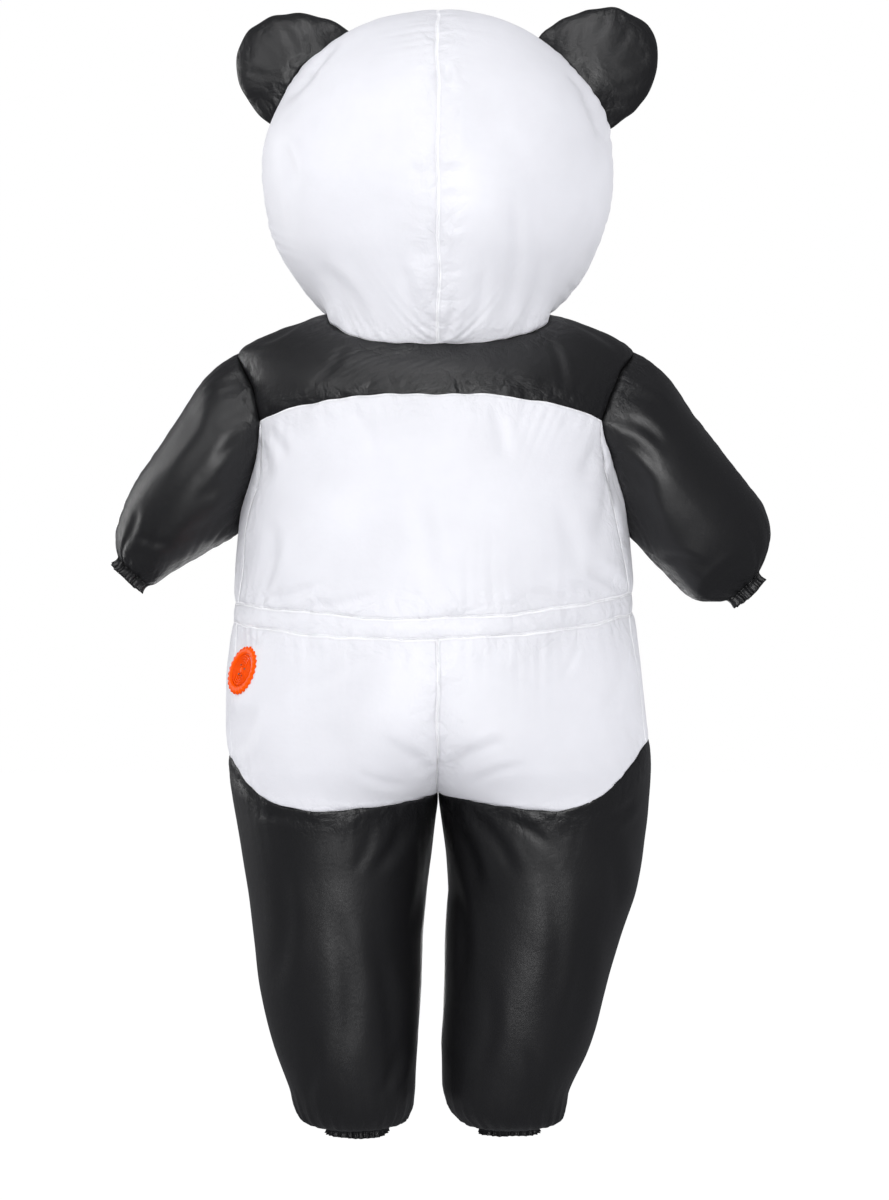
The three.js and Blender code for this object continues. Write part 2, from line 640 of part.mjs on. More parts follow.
function sleeveTurns(way) {
  const turns = [];
  for (let i = 0; i < CELLS.armholeHigh; i += 1) {
    turns.push(way * YOKE_CORNER * i / CELLS.armholeHigh);
  }
  const lowCells = CELLS.armholeLow / 2;
  for (let i = 0; i <= lowCells; i += 1) {
    turns.push(way * THREE.MathUtils.lerp(YOKE_CORNER, Math.PI, i / lowCells));
  }
  return turns;
}

function addSleeve(side) {
  const name = side > 0 ? 'left' : 'right';
  const table = side > 0 ? SLEEVE_LEFT : SLEEVE_RIGHT;
  const core = sleeveSection(table, 0.5).middle;
  const wrist = sleeveSection(table, 1);
  const wristMiddle = new THREE.Vector3(side * wrist.middle.x, 0, wrist.middle.y);
  const ends = {};
  for (const way of [1, -1]) {
    const turns = sleeveTurns(way);
    const grid = gridOf(turns.length - 1, CELLS.sleeveRun, (across, run, column) => {
      const point = sleevePoint(side, turns[column], run);
      const amount = GATHER * Math.max(0, 1 - (1 - run) * 5);
      return gathered(point, wristMiddle, column, amount);
    });
    ends[way] = grid.map((line) => line[CELLS.sleeveRun]);
    const piece = way > 0 ? `sleeve_back_${name}` : `sleeve_front_${name}`;
    addPanel(piece, BLACK, new THREE.Vector3(side * core.x, 0, core.y), grid);
  }
  const ring = [...ends[1], ...ends[-1].slice(0, -1).reverse()];
  const along = new THREE.Vector3(side * wrist.half.y, 0, -wrist.half.x).normalize();
  const cuff = gridOf(ring.length - 1, 2, (across, up, column, row) => {
    const point = ring[column].clone().addScaledVector(along, row * WRIST_CUFF / 2);
    const middle = wristMiddle.clone().addScaledVector(along, row * WRIST_CUFF / 2);
    return row === 0 ? point : gathered(point, middle, column, -GATHER * (row - 1.4));
  });
  addPanel(`wrist_cuff_${name}`, BLACK, wristMiddle, cuff, { closed: true });
}

// Head: polar is 0 at the crown, and the last stretch runs to the neck seam
function headBall(angle, polar) {
  const depth = Math.sin(angle) >= 0 ? HEAD.back : HEAD.front;
  const rise = polar < Math.PI / 2 ? HEAD.above : HEAD.below;
  return new THREE.Vector3(
    HEAD.side * Math.sin(polar) * Math.cos(angle),
    depth * Math.sin(polar) * Math.sin(angle),
    HEAD.middle + rise * Math.cos(polar),
  );
}

const neckPolar = (angle) => Math.acos((neckHeight(angle) - HEAD.middle) / HEAD.below);

function headPoint(angle, polar) {
  const end = neckPolar(angle);
  const blend = Math.max(0, (polar - NECK_BLEND) / (end - NECK_BLEND)) ** 2;
  const neck = placePoint({ angle, height: neckHeight(angle) }).sub(headBall(angle, end));
  return headBall(angle, polar).addScaledVector(neck, blend);
}

// The polar angle of each row of a gore: crown, past the ear, and the cheek
function gorePolar(row, ear, end) {
  const earStart = CELLS.crown;
  const earEnd = CELLS.crown + CELLS.earRun;
  if (row <= earStart) {
    return ear.baseHigh * row / earStart;
  }
  if (row <= earEnd) {
    return THREE.MathUtils.lerp(ear.baseHigh, ear.baseLow, (row - earStart) / CELLS.earRun);
  }
  return THREE.MathUtils.lerp(ear.baseLow, end, (row - earEnd) / CELLS.cheek);
}

const MEAN_EAR = { baseHigh: 0.55, baseLow: 1.28 };
const GORE_ROWS = CELLS.crown + CELLS.earRun + CELLS.cheek;

// How far the ear's base opens the side seam, in radians round the head
function earOpening(ear, polar) {
  const place = (polar - ear.baseHigh) / (ear.baseLow - ear.baseHigh);
  return place > 0 && place < 1 ? EAR_BASE_BOW * Math.sin(Math.PI * place) : 0;
}

function addHead() {
  for (const ear of EARS) {
    for (const way of [1, -1]) {
      const columns = way > 0
        ? (2 * CELLS.armholeHigh + CELLS.yokeBack) / 2
        : CELLS.armholeHigh + CELLS.yokeFront;
      const grid = gridOf(columns, GORE_ROWS, (even, up, column, row) => {
        const sideAngle = way * neckColumnAngle(column, columns);
        const across = sideAngle / (way * Math.PI / 2);
        const end = neckPolar(sideAngle);
        const polar = THREE.MathUtils.lerp(
          gorePolar(row, ear, end), gorePolar(row, MEAN_EAR, end), across);
        const start = earOpening(ear, gorePolar(row, ear, end));
        const own = way * THREE.MathUtils.lerp(start, Math.PI / 2, across);
        return headPoint(ear.side > 0 ? own : Math.PI - own, polar);
      });
      const name = `head_${way > 0 ? 'back' : 'front'}_${ear.side > 0 ? 'left' : 'right'}`;
      addPanel(name, WHITE, new THREE.Vector3(0, 0, HEAD.middle), grid);
    }
  }
}

// Ears: two domed panels each, from the head's side seam out to a round rim
function earRim(ear, t) {
  const turned = (polar) => {
    const point = headPoint(0, polar);
    return new THREE.Vector2(point.x - ear.x, point.z - ear.z);
  };
  const high = turned(ear.baseHigh);
  const low = turned(ear.baseLow);
  const turn = THREE.MathUtils.lerp(high.angle(), low.angle() - FULL_TURN, t);
  const nearHigh = Math.max(0, 1 - t / EAR_ROOT) ** 2;
  const nearLow = Math.max(0, 1 - (1 - t) / EAR_ROOT) ** 2;
  const radius = ear.radius + (high.length() - ear.radius) * nearHigh
    + (low.length() - ear.radius) * nearLow;
  return new THREE.Vector3(
    ear.side * (ear.x + radius * Math.cos(turn)),
    0,
    ear.z + radius * Math.sin(turn),
  );
}

function addEars() {
  for (const ear of EARS) {
    for (const way of [1, -1]) {
      const grid = gridOf(CELLS.earRun, CELLS.earRise, (t, out) => {
        const polar = THREE.MathUtils.lerp(ear.baseHigh, ear.baseLow, t);
        const own = way * earOpening(ear, polar);
        const base = headPoint(ear.side > 0 ? own : Math.PI - own, polar);
        const rim = earRim(ear, t);
        const dome = Math.sqrt(Math.max(0, 1 - out * out));
        const swell = way * EAR_BULGE * Math.sin(Math.PI * t) ** 0.7 * (dome - (1 - out) ** 2);
        const point = base.clone().lerp(rim, out);
        point.y = base.y * (1 - out) ** 2 + swell;
        return point;
      });
      const name = `ear_${way > 0 ? 'back' : 'front'}_${ear.side > 0 ? 'left' : 'right'}`;
      addPanel(name, BLACK, new THREE.Vector3(ear.side * ear.x, 0, ear.z), grid);
    }
  }
}

// Face: each oval is made from the head's own points, and moved out by its layer
function addFace() {
  const looks = { WHITE, BLACK, MESH };
  for (const oval of FACE) {
    const rings = 3;
    const grid = gridOf(16, rings, (around, inward) => {
      const turn = FULL_TURN * (around % 1);
      const along = oval.wide * Math.cos(turn) * (1 - inward);
      const rise = oval.tall * Math.sin(turn) * (1 - inward);
      const across = along * Math.cos(oval.lean) - rise * Math.sin(oval.lean);
      const up = along * Math.sin(oval.lean) + rise * Math.cos(oval.lean);
      return headPoint(
        oval.angle + across / (HEAD.front * Math.sin(oval.polar)),
        oval.polar - up / HEAD.below,
      );
    });
    const lift = (oval.layer + 1) * (LAID_ON + WALL);
    const core = new THREE.Vector3(0, 0, HEAD.middle);
    addPanel(oval.name, looks[oval.look], core, grid, { closed: true, lift });
  }
}

// Zip tape: follows the middle columns of the front panels, from the neck down
function zipRows() {
  const gridNamed = (name) => PANELS.find((panel) => panel.name === name).grid;
  const rows = [];
  for (const piece of ['yoke_front', 'front', 'hip_front']) {
    const left = gridNamed(`${piece}_left`);
    const right = gridNamed(`${piece}_right`);
    const last = left.length - 1;
    for (let row = left[last].length - 1; row >= 0; row -= 1) {
      const middle = left[last][row];
      const beside = (point) => middle.clone()
        .add(point.clone().sub(middle).setLength(TAPE_HALF));
      const repeated = piece === 'front' && row === left[last].length - 1;
      if (middle.z >= ZIP_END && !repeated) {
        rows.push([beside(left[last - 1][row]), middle.clone(), beside(right[last - 1][row])]);
      }
    }
  }
  return rows;
}

function addZip() {
  const rows = zipRows();
  const grid = [0, 1, 2].map((column) => rows.map((row) => row[column]));
  const lift = LAID_ON + WALL;
  addPanel('zip_tape', BLACK, new THREE.Vector3(0, 0, 1200), grid, { lift });

  const up = rows[0][1].clone().sub(rows[1][1]).normalize();
  const across = new THREE.Vector3(1, 0, 0);
  const out = across.clone().cross(up).normalize();
  const place = new THREE.Group();
  place.position.copy(rows[0][1]).lerp(rows[1][1], 0.5).addScaledVector(out, lift + LAID_ON);
  place.quaternion.setFromRotationMatrix(new THREE.Matrix4().makeBasis(across, up, out));
  costume.add(place);

  const half = SLIDER.wide / 2;
  const channel = new THREE.Shape([
    new THREE.Vector2(-half, 0),
    new THREE.Vector2(half, 0),
    new THREE.Vector2(half, SLIDER.lugHeight),
    new THREE.Vector2(half - SLIDER.lug, SLIDER.lugHeight),
    new THREE.Vector2(half - SLIDER.lug, SLIDER.base),
    new THREE.Vector2(SLIDER.lug - half, SLIDER.base),
    new THREE.Vector2(SLIDER.lug - half, SLIDER.lugHeight),
    new THREE.Vector2(-half, SLIDER.lugHeight),
  ]);
  const body = new THREE.ExtrudeGeometry(channel, { depth: SLIDER.long, bevelEnabled: false });
  const slider = addMesh('zip_slider', METAL, body, place);
  slider.rotation.x = Math.PI / 2;
  slider.position.y = SLIDER.long / 2;

  const plate = new THREE.BoxGeometry(TAB.wide, TAB.long, TAB.thick);
  const tab = addMesh('zip_pull_tab', METAL, plate, place);
  tab.position.set(0, SLIDER.long / 2 - 2 - TAB.long / 2, SLIDER.base + TAB.clearance + TAB.thick / 2);
}

// Fan: a scalloped ring and a ribbed grille that lie on the cloth of the left hip
function addFan() {
  const at = trouserPoint(1, FAN.angle, FAN.height);
  const round = trouserPoint(1, FAN.angle + 0.1, FAN.height).sub(at);
  const rise = trouserPoint(1, FAN.angle, FAN.height + 20).sub(at);
  const out = round.clone().cross(rise).normalize();
  const up = rise.clone().addScaledVector(out, -rise.dot(out)).normalize();
  const across = up.clone().cross(out);
  const place = new THREE.Group();
  place.position.copy(at).addScaledVector(out, FAN.proud);
  place.quaternion.setFromRotationMatrix(new THREE.Matrix4().makeBasis(across, up, out));
  costume.add(place);

  const edge = [];
  const steps = FAN.teeth * 4;
  for (let i = 0; i < steps; i += 1) {
    const turn = FULL_TURN * i / steps;
    const radius = FAN.radius + FAN.scallop * Math.cos(FAN.teeth * turn);
    edge.push(new THREE.Vector2(radius * Math.cos(turn), radius * Math.sin(turn)));
  }
  const rim = new THREE.Shape(edge);
  rim.holes.push(new THREE.Path().absarc(0, 0, FAN.hole, 0, FULL_TURN, true));
  const ring = new THREE.ExtrudeGeometry(rim, {
    depth: FAN.thick, bevelEnabled: false, curveSegments: 18,
  });
  addMesh('fan_ring', ORANGE, ring, place);

  const profile = [new THREE.Vector2(0, 0), new THREE.Vector2(FAN.hole - 0.5, 0)];
  const ribs = 4;
  const pitch = (FAN.hole - 0.5) / (ribs + 0.5);
  for (let rib = ribs; rib > 0; rib -= 1) {
    const radius = rib * pitch;
    profile.push(new THREE.Vector2(radius + pitch / 2 - (rib === ribs ? 0 : 0.6), 4));
    profile.push(new THREE.Vector2(radius + pitch / 4, 5.5));
    profile.push(new THREE.Vector2(radius - pitch / 4, 5.5));
    profile.push(new THREE.Vector2(radius - pitch / 2 + 0.6, 4));
  }
  profile.push(new THREE.Vector2(0, 4));
  const grille = addMesh('fan_grille', ORANGE, new THREE.LatheGeometry(profile, 28), place);
  grille.rotation.x = Math.PI / 2;
}

// Build the cloth
const costume = new THREE.Group();
costume.position.z = -HOLD_HEIGHT;

function addMesh(name, look, geometry, parent = costume) {
  const mesh = new THREE.Mesh(geometry, new THREE.MeshStandardMaterial(look));
  mesh.name = name;
  parent.add(mesh);
  return mesh;
}

addTorso();
addWaistBand();
for (const side of [1, -1]) {
  addHips(side);
  addLeg(side);
  addSleeve(side);
}
addHead();
addEars();
addFace();
addZip();
addFan();
shareNormals();
for (const panel of PANELS) {
  const outer = drawnBack(panel);
  outer.forEach((line, column) => line.forEach((point, row) => (
    point.addScaledVector(panel.normals[column][row], panel.lift))));
  addMesh(panel.name, panel.look, wallGeometry(outer, panel.normals, panel.closed));
}

export default costume;
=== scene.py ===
"""Inflatable panda costume, worn form: fine cloth, hard pieces, light and camera."""
import json
import math

import bmesh
import bpy
import numpy as np
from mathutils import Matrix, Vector

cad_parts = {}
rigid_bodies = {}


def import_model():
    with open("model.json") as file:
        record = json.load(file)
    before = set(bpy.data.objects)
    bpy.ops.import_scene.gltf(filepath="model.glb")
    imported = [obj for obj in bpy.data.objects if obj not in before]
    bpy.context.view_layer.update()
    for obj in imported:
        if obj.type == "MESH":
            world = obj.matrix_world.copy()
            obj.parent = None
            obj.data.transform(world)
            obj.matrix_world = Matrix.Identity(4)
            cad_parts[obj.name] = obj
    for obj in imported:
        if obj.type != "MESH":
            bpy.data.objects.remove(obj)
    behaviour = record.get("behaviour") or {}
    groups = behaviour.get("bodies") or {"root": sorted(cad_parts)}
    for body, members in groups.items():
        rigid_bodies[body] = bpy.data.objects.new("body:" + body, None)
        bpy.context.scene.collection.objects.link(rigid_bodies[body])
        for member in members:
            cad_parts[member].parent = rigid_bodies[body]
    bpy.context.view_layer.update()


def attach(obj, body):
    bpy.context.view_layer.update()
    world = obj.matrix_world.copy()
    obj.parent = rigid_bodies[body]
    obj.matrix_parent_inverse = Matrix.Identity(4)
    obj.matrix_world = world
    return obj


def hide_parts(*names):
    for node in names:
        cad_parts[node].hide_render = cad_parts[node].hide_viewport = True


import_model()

# The tables are in millimetres above the wearer's floor; the frame's origin is at the shoulders
MM = 0.001
HOLD_HEIGHT = 1580.0
TURN = 2 * math.pi
QUARTER = TURN / 4

# Thickness in metres of the cloth's shells, of what is laid on the face and of the zip's tape
SHELL, PATCH, TAPE = 0.0011, 0.0012, 0.001

# Torso sections: height, then reach to the left, right, back and front
TORSO_KEYS = ("height", "left", "right", "back", "front")
TORSO = (
    (1030, 391, 379, 296, 300),
    (1117, 384, 368, 290, 300),
    (1215, 379, 363, 290, 298),
    (1300, 371, 356, 284, 288),
    (1373, 361, 352, 276, 272),
    (1440, 361, 359, 266, 256),
    (1500, 372, 374, 252, 240),
    (1551, 381, 378, 228, 218),
    (1600, 376, 371, 182, 178),
    (1640, 296, 296, 150, 146),
    (1671, 208, 207, 125, 121),
)

# Seat and leg sections: the splits are a leg's inner reach over its outer reach
TROUSER_KEYS = ("height", "left", "right", "split_left", "split_right", "back", "front")
TROUSERS = (
    (132, 214, 194, 0.44, 0.4, 60, 60),
    (140, 251, 229, 0.25, 0.2, 90, 90),
    (165, 270, 242, 0.19, 0.09, 115, 115),
    (200, 280, 249, 0.164, 0.05, 130, 130),
    (287, 310, 288, 0.129, 0.034, 154, 154),
    (395, 334, 316, 0.102, 0.045, 172, 172),
    (486, 347, 345, 0.09, 0.052, 184, 184),
    (577, 358, 374, 0.07, 0.062, 196, 196),
    (649, 369, 387, 0.044, 0.044, 206, 206),
    (767, 389, 399, 0.004, 0.004, 232, 228),
    (830, 395, 401, -0.28, -0.28, 270, 252),
    (900, 399, 393, -0.6, -0.6, 296, 276),
    (980, 398, 385, -0.88, -0.88, 302, 290),
    (1045, 391, 377, -1, -1, 297, 298),
    (1130, 383, 367, -1, -1, 290, 300),
)

# Sleeve sections from the armhole to the wrist, as seen from behind
SLEEVE_KEYS = ("place", "top_x", "top_z", "low_x", "low_z", "depth")
SLEEVES = {
    1: (
        (0, 377, 1600, 374, 1256, 148),
        (1, 432, 1555, 400, 1242, 163),
        (2, 476, 1497, 432, 1227, 148),
        (3, 524, 1424, 466, 1208, 130),
        (4, 573, 1347, 498, 1188, 106),
        (5, 600, 1288, 522, 1170, 82),
        (6, 610, 1246, 538, 1160, 62),
        (7, 604, 1214, 550, 1158, 46),
    ),
    -1: (
        (0, 371, 1600, 357, 1256, 148),
        (1, 424, 1558, 378, 1236, 158),
        (2, 468, 1500, 406, 1206, 154),
        (3, 518, 1434, 436, 1178, 138),
        (4, 574, 1364, 464, 1150, 118),
        (5, 618, 1302, 486, 1132, 94),
        (6, 630, 1246, 506, 1126, 68),
        (7, 608, 1184, 548, 1128, 46),
    ),
}

# Head, ears and the seams round the body
HEAD_MIDDLE, HEAD_SIDE, HEAD_BACK, HEAD_FRONT, HEAD_ABOVE, HEAD_BELOW = 1940, 330, 316, 322, 296, 352
EARS = {
    1: {"x": 277, "z": 2137, "radius": 104, "high": 0.5, "low": 1.27},
    -1: {"x": 313, "z": 2150, "radius": 104, "high": 0.6, "low": 1.3},
}
EAR_BOW, EAR_BULGE, EAR_ROOT = 0.2, 46, 0.25
MEAN_EAR = {"high": 0.55, "low": 1.28}
SIDE_SEAM = 0.25
ARM_CORNER, ARM_ABOVE, ARM_BELOW, ARM_TAPER = 1462, 138, 206, 0.8
ARM_ANGLE, ARM_ANGLE_LEFT_BACK = 0.6, 0.46
YOKE_MIDDLE, NECK_SIDE, NECK_DIP_BACK, NECK_DIP_FRONT = 1505, 1671, 75, 66
NECK_AT_CORNER, NECK_BLEND = 0.95, 2.1
WAIST_MIDDLE, WAIST_TILT, WAIST_DIP, BAND_HALF = 1117, 8, 34, 19
LEG_SEAM_SIDE, LEG_SEAM_CURVE, LEG_SEAM_BACK = {1: 842, -1: 868}, {1: 3.4, -1: 2.1}, 752
CROTCH, HEM = 767, 132
SIDE_NAMES = {1: "left", -1: "right"}
FACE_NAMES = {1: "back", -1: "front"}

# Ovals on the face: name, look, angle, polar angle, half width, half height, lean and layer
FACE = (
    ("eye_patch_left", "black", -1.2, 1.42, 50, 70, 0.5, 0),
    ("eye_patch_right", "black", -1.94, 1.42, 50, 70, -0.5, 0),
    ("eye_left", "white", -1.22, 1.38, 18, 24, 0.2, 1),
    ("eye_right", "white", -1.92, 1.38, 18, 24, -0.2, 1),
    ("nose", "black", -1.57, 1.7, 34, 22, 0, 0),
    ("vision_window", "net", -1.57, 1.95, 84, 34, 0, 0),
)
TAPE_HALF, ZIP_TOP, ZIP_END, CHEST_RADIUS = 13, 1602, 960, 370
TOOTH = {"pitch": 3.2, "first": 28, "spare": 30, "shift": 1.1, "half_width": 2.4, "half_length": 0.75,
         "low": -0.2, "high": 1.5}

# Fan on the wearer's left hip, the pleats above it, and the camera at the photograph's place
FAN = {"angle": 0.45, "height": 1001, "lean": 0.17, "lean_reach": 74, "radius": 45, "scallop": 1.6,
       "teeth": 26, "hole": 31, "thick": 7, "proud": 0.2}
FAN_CELLS = {"ring": 416, "grille": 160, "boss": 64}

# Small dark marks in the grille: the turn and reach of each from the fan's middle, and its size
FAN_MARKS = ((0.3, 10.5, 2.2), (2.2, 11, 1.7), (4.2, 9.5, 2.4), (5.3, 13, 1.5))
PLEATS = {"pitch": 19, "depth": 4.6, "half_width": 44, "height": 1072, "half_height": 26,
          "hip_radius": 390}
CAMERA = {"away": 4.5, "height": -0.38, "lens": 71.04, "aim_x": -0.0124, "aim_z": -0.4506}
FLOOR = {"far": 9.0, "glow": 0.97}
SKY, SKY_FOR_GLOSS = (0.94, 0.945, 1), 0.2

# Soft boxes: place, height aimed at and size in metres, power in watts, and what the light leaves out.
# The sheen strips only shine on the cloth, and the two at the front only light it
LIGHTS = {
    "key": ((2.3, 2.3, 1.5), -0.2, (0.9, 1.8), 30, None),
    "fill": ((-1.3, 3.4, 0.3), -0.35, (0.7, 2.4), 28, None),
    "front_left": ((1.8, -2.9, 1.0), -0.35, (1.4, 2.2), 26, "visible_glossy"),
    "front_right": ((-2.2, -2.6, 0.4), -0.35, (1.2, 2.4), 22, "visible_glossy"),
    "back_sheen": ((-0.15, 4.2, 0.1), -0.35, (0.5, 3.2), 150, "visible_diffuse"),
    "top_sheen": ((0.1, 1.3, 2.3), -0.35, (1.6, 0.5), 26, "visible_diffuse"),
    "leg_sheen": ((0, 1.7, -1.45), -0.35, (0.8, 0.3), 3, "visible_diffuse"),
    "front_leg_sheen": ((0, -1.8, -1.45), -0.35, (0.8, 0.3), 5, "visible_diffuse"),
    "front_sheen": ((3.2, -1.4, 0.3), -0.35, (0.45, 2.8), 50, "visible_diffuse"),
}

# Each kind of panel: its cloth, the region whose creases it has, its seed, and the puckers at its edges,
# each with its height and reach in mm
PANELS = {
    "back_panel": (
        "white", "torso", 3, {"low": (5.0, 34), "high": (4.6, 34), "first": (2.0, 22), "last": (3.0, 30)}),
    "yoke_back": (
        "black", "torso", 5, {"low": (2.6, 26), "high": (3.4, 30), "first": (2.0, 20), "last": (2.0, 20)}),
    "yoke_front": ("black", "torso", 7, {"low": (2.6, 26), "high": (3.4, 30), "first": (2.0, 20)}),
    "front": ("white", "torso", 11, {"low": (4.6, 34), "high": (4.2, 34), "first": (2.0, 22)}),
    "waist_band": ("white", "torso", 17, {"low": (0.9, 9), "high": (0.9, 9)}),
    "hips": (
        "white", "hips", 23, {"low": (3.0, 30), "high": (4.8, 34), "last": (2.4, 26), "first": (1.6, 18)}),
    "leg": ("black", "legs", 37, {"high": (2.6, 40), "low": (0.5, 20)}),
    "ankle_cuff": ("black", "legs", 41, {}),
    "sleeve": (
        "black", "sleeves", 57, {"low": (3.2, 44), "first": (2.4, 26), "last": (2.2, 26), "high": (0.8, 16)}),
    "wrist_cuff": ("black", "sleeves", 67, {}),
    "head_back": ("white", "head", 71, {"high": (4.6, 40), "first": (4.4, 34), "last": (4.4, 28)}),
    "head_front": ("white", "head", 71, {"high": (4.6, 40), "first": (4.4, 34), "last": (1.6, 28)}),
    "ear": ("black", "ears", 83, {"high": (1.3, 15), "low": (2.6, 20)}),
}
BESIDE_ZIP = ("front", "yoke_front", "hip_front")


def read_table(table, keys, key, at):
    """Smooth reading of a column, the same curve as the solids have."""
    rows = np.array(table, float)
    places = rows[:, 0]
    values = rows[:, keys.index(key)]
    at = np.clip(at, places[0], places[-1])
    if key.startswith("split"):
        return np.interp(at, places, values)
    last = len(places) - 1
    before = np.maximum(np.arange(last + 1) - 1, 0)
    after = np.minimum(np.arange(last + 1) + 1, last)
    slopes = (values[after] - values[before]) / (places[after] - places[before])
    low = np.clip(np.searchsorted(places, at, side="left") - 1, 0, last - 1)
    run = places[low + 1] - places[low]
    t = (at - places[low]) / run
    return (
        (2 * t**3 - 3 * t**2 + 1) * values[low]
        + (t**3 - 2 * t**2 + t) * run * slopes[low]
        + (3 * t**2 - 2 * t**3) * values[low + 1]
        + (t**3 - t**2) * run * slopes[low + 1]
    )


def points(x, y, z):
    return np.stack(np.broadcast_arrays(x, y, z), axis=-1).astype(float)


def torso(angle, height):
    read = lambda key: read_table(TORSO, TORSO_KEYS, key, height)
    side = np.where(np.cos(angle) >= 0, read("left"), read("right"))
    depth = np.where(np.sin(angle) >= 0, read("back"), read("front"))
    return points(side * np.cos(angle), depth * np.sin(angle), height)


def trousers(side, angle, height):
    name = "left" if side > 0 else "right"
    outer = read_table(TROUSERS, TROUSER_KEYS, name, height)
    inner = outer * read_table(TROUSERS, TROUSER_KEYS, "split_" + name, height)
    back = read_table(TROUSERS, TROUSER_KEYS, "back", height)
    front = read_table(TROUSERS, TROUSER_KEYS, "front", height)
    depth = np.where(np.sin(angle) >= 0, back, front)
    across = (outer + inner) / 2 + (outer - inner) / 2 * np.cos(angle)
    return points(side * across, depth * np.sin(angle), height)


def middle_angle(height):
    split = read_table(TROUSERS, TROUSER_KEYS, "split_left", height)
    return np.arccos(np.maximum(-1, -(1 + split) / (1 - split)))


def waist_height(angle):
    return WAIST_MIDDLE - WAIST_TILT * np.cos(angle) - WAIST_DIP * np.sin(angle) ** 2


def neck_height(angle):
    dip = np.where(np.sin(angle) >= 0, NECK_DIP_BACK, NECK_DIP_FRONT)
    return NECK_SIDE - dip * np.abs(np.sin(angle)) ** 3


def leg_seam_height(side, angle):
    back = LEG_SEAM_BACK + (CROTCH - LEG_SEAM_BACK) * np.maximum(0, -np.cos(angle))
    return back + (LEG_SEAM_SIDE[side] - back) * np.maximum(0, np.cos(angle)) ** LEG_SEAM_CURVE[side]


def armhole(side, turn):
    """Angle and height of the armhole; turn 0 is the shoulder, a quarter turn the yoke's corner."""
    rise = np.cos(turn)
    high = np.abs(np.sin(turn))
    low = np.maximum(0, 1 + rise) ** ARM_TAPER
    corner = np.where((side > 0) & (np.sin(turn) > 0), ARM_ANGLE_LEFT_BACK, ARM_ANGLE)
    swing = corner * np.where(rise >= 0, high, low) * np.sign(np.sin(turn))
    height = ARM_CORNER + rise * np.where(rise >= 0, ARM_ABOVE, ARM_BELOW)
    return (swing if side > 0 else math.pi - swing), height


def sleeve(side, turn, run):
    def ring(at):
        place = at * SLEEVES[side][-1][0]
        read = lambda key: read_table(SLEEVES[side], SLEEVE_KEYS, key, place)
        half_x = (read("top_x") - read("low_x")) / 2
        half_z = (read("top_z") - read("low_z")) / 2
        return points(
            side * (read("low_x") + half_x + half_x * np.cos(turn)),
            read("depth") * np.sin(turn),
            read("low_z") + half_z + half_z * np.cos(turn),
        )

    root = torso(*armhole(side, turn)) - ring(0 * run)
    return ring(run) + root * ((1 - run) ** 4)[..., None]


def head_ball(angle, polar):
    depth = np.where(np.sin(angle) >= 0, HEAD_BACK, HEAD_FRONT)
    rise = np.where(polar < QUARTER, HEAD_ABOVE, HEAD_BELOW)
    return points(
        HEAD_SIDE * np.sin(polar) * np.cos(angle),
        depth * np.sin(polar) * np.sin(angle),
        HEAD_MIDDLE + rise * np.cos(polar),
    )


def neck_polar(angle):
    return np.arccos((neck_height(angle) - HEAD_MIDDLE) / HEAD_BELOW)


def head(angle, polar):
    end = neck_polar(angle)
    blend = np.maximum(0, (polar - NECK_BLEND) / (end - NECK_BLEND)) ** 2
    neck = torso(angle, neck_height(angle)) - head_ball(angle, end)
    return head_ball(angle, polar) + neck * blend[..., None]


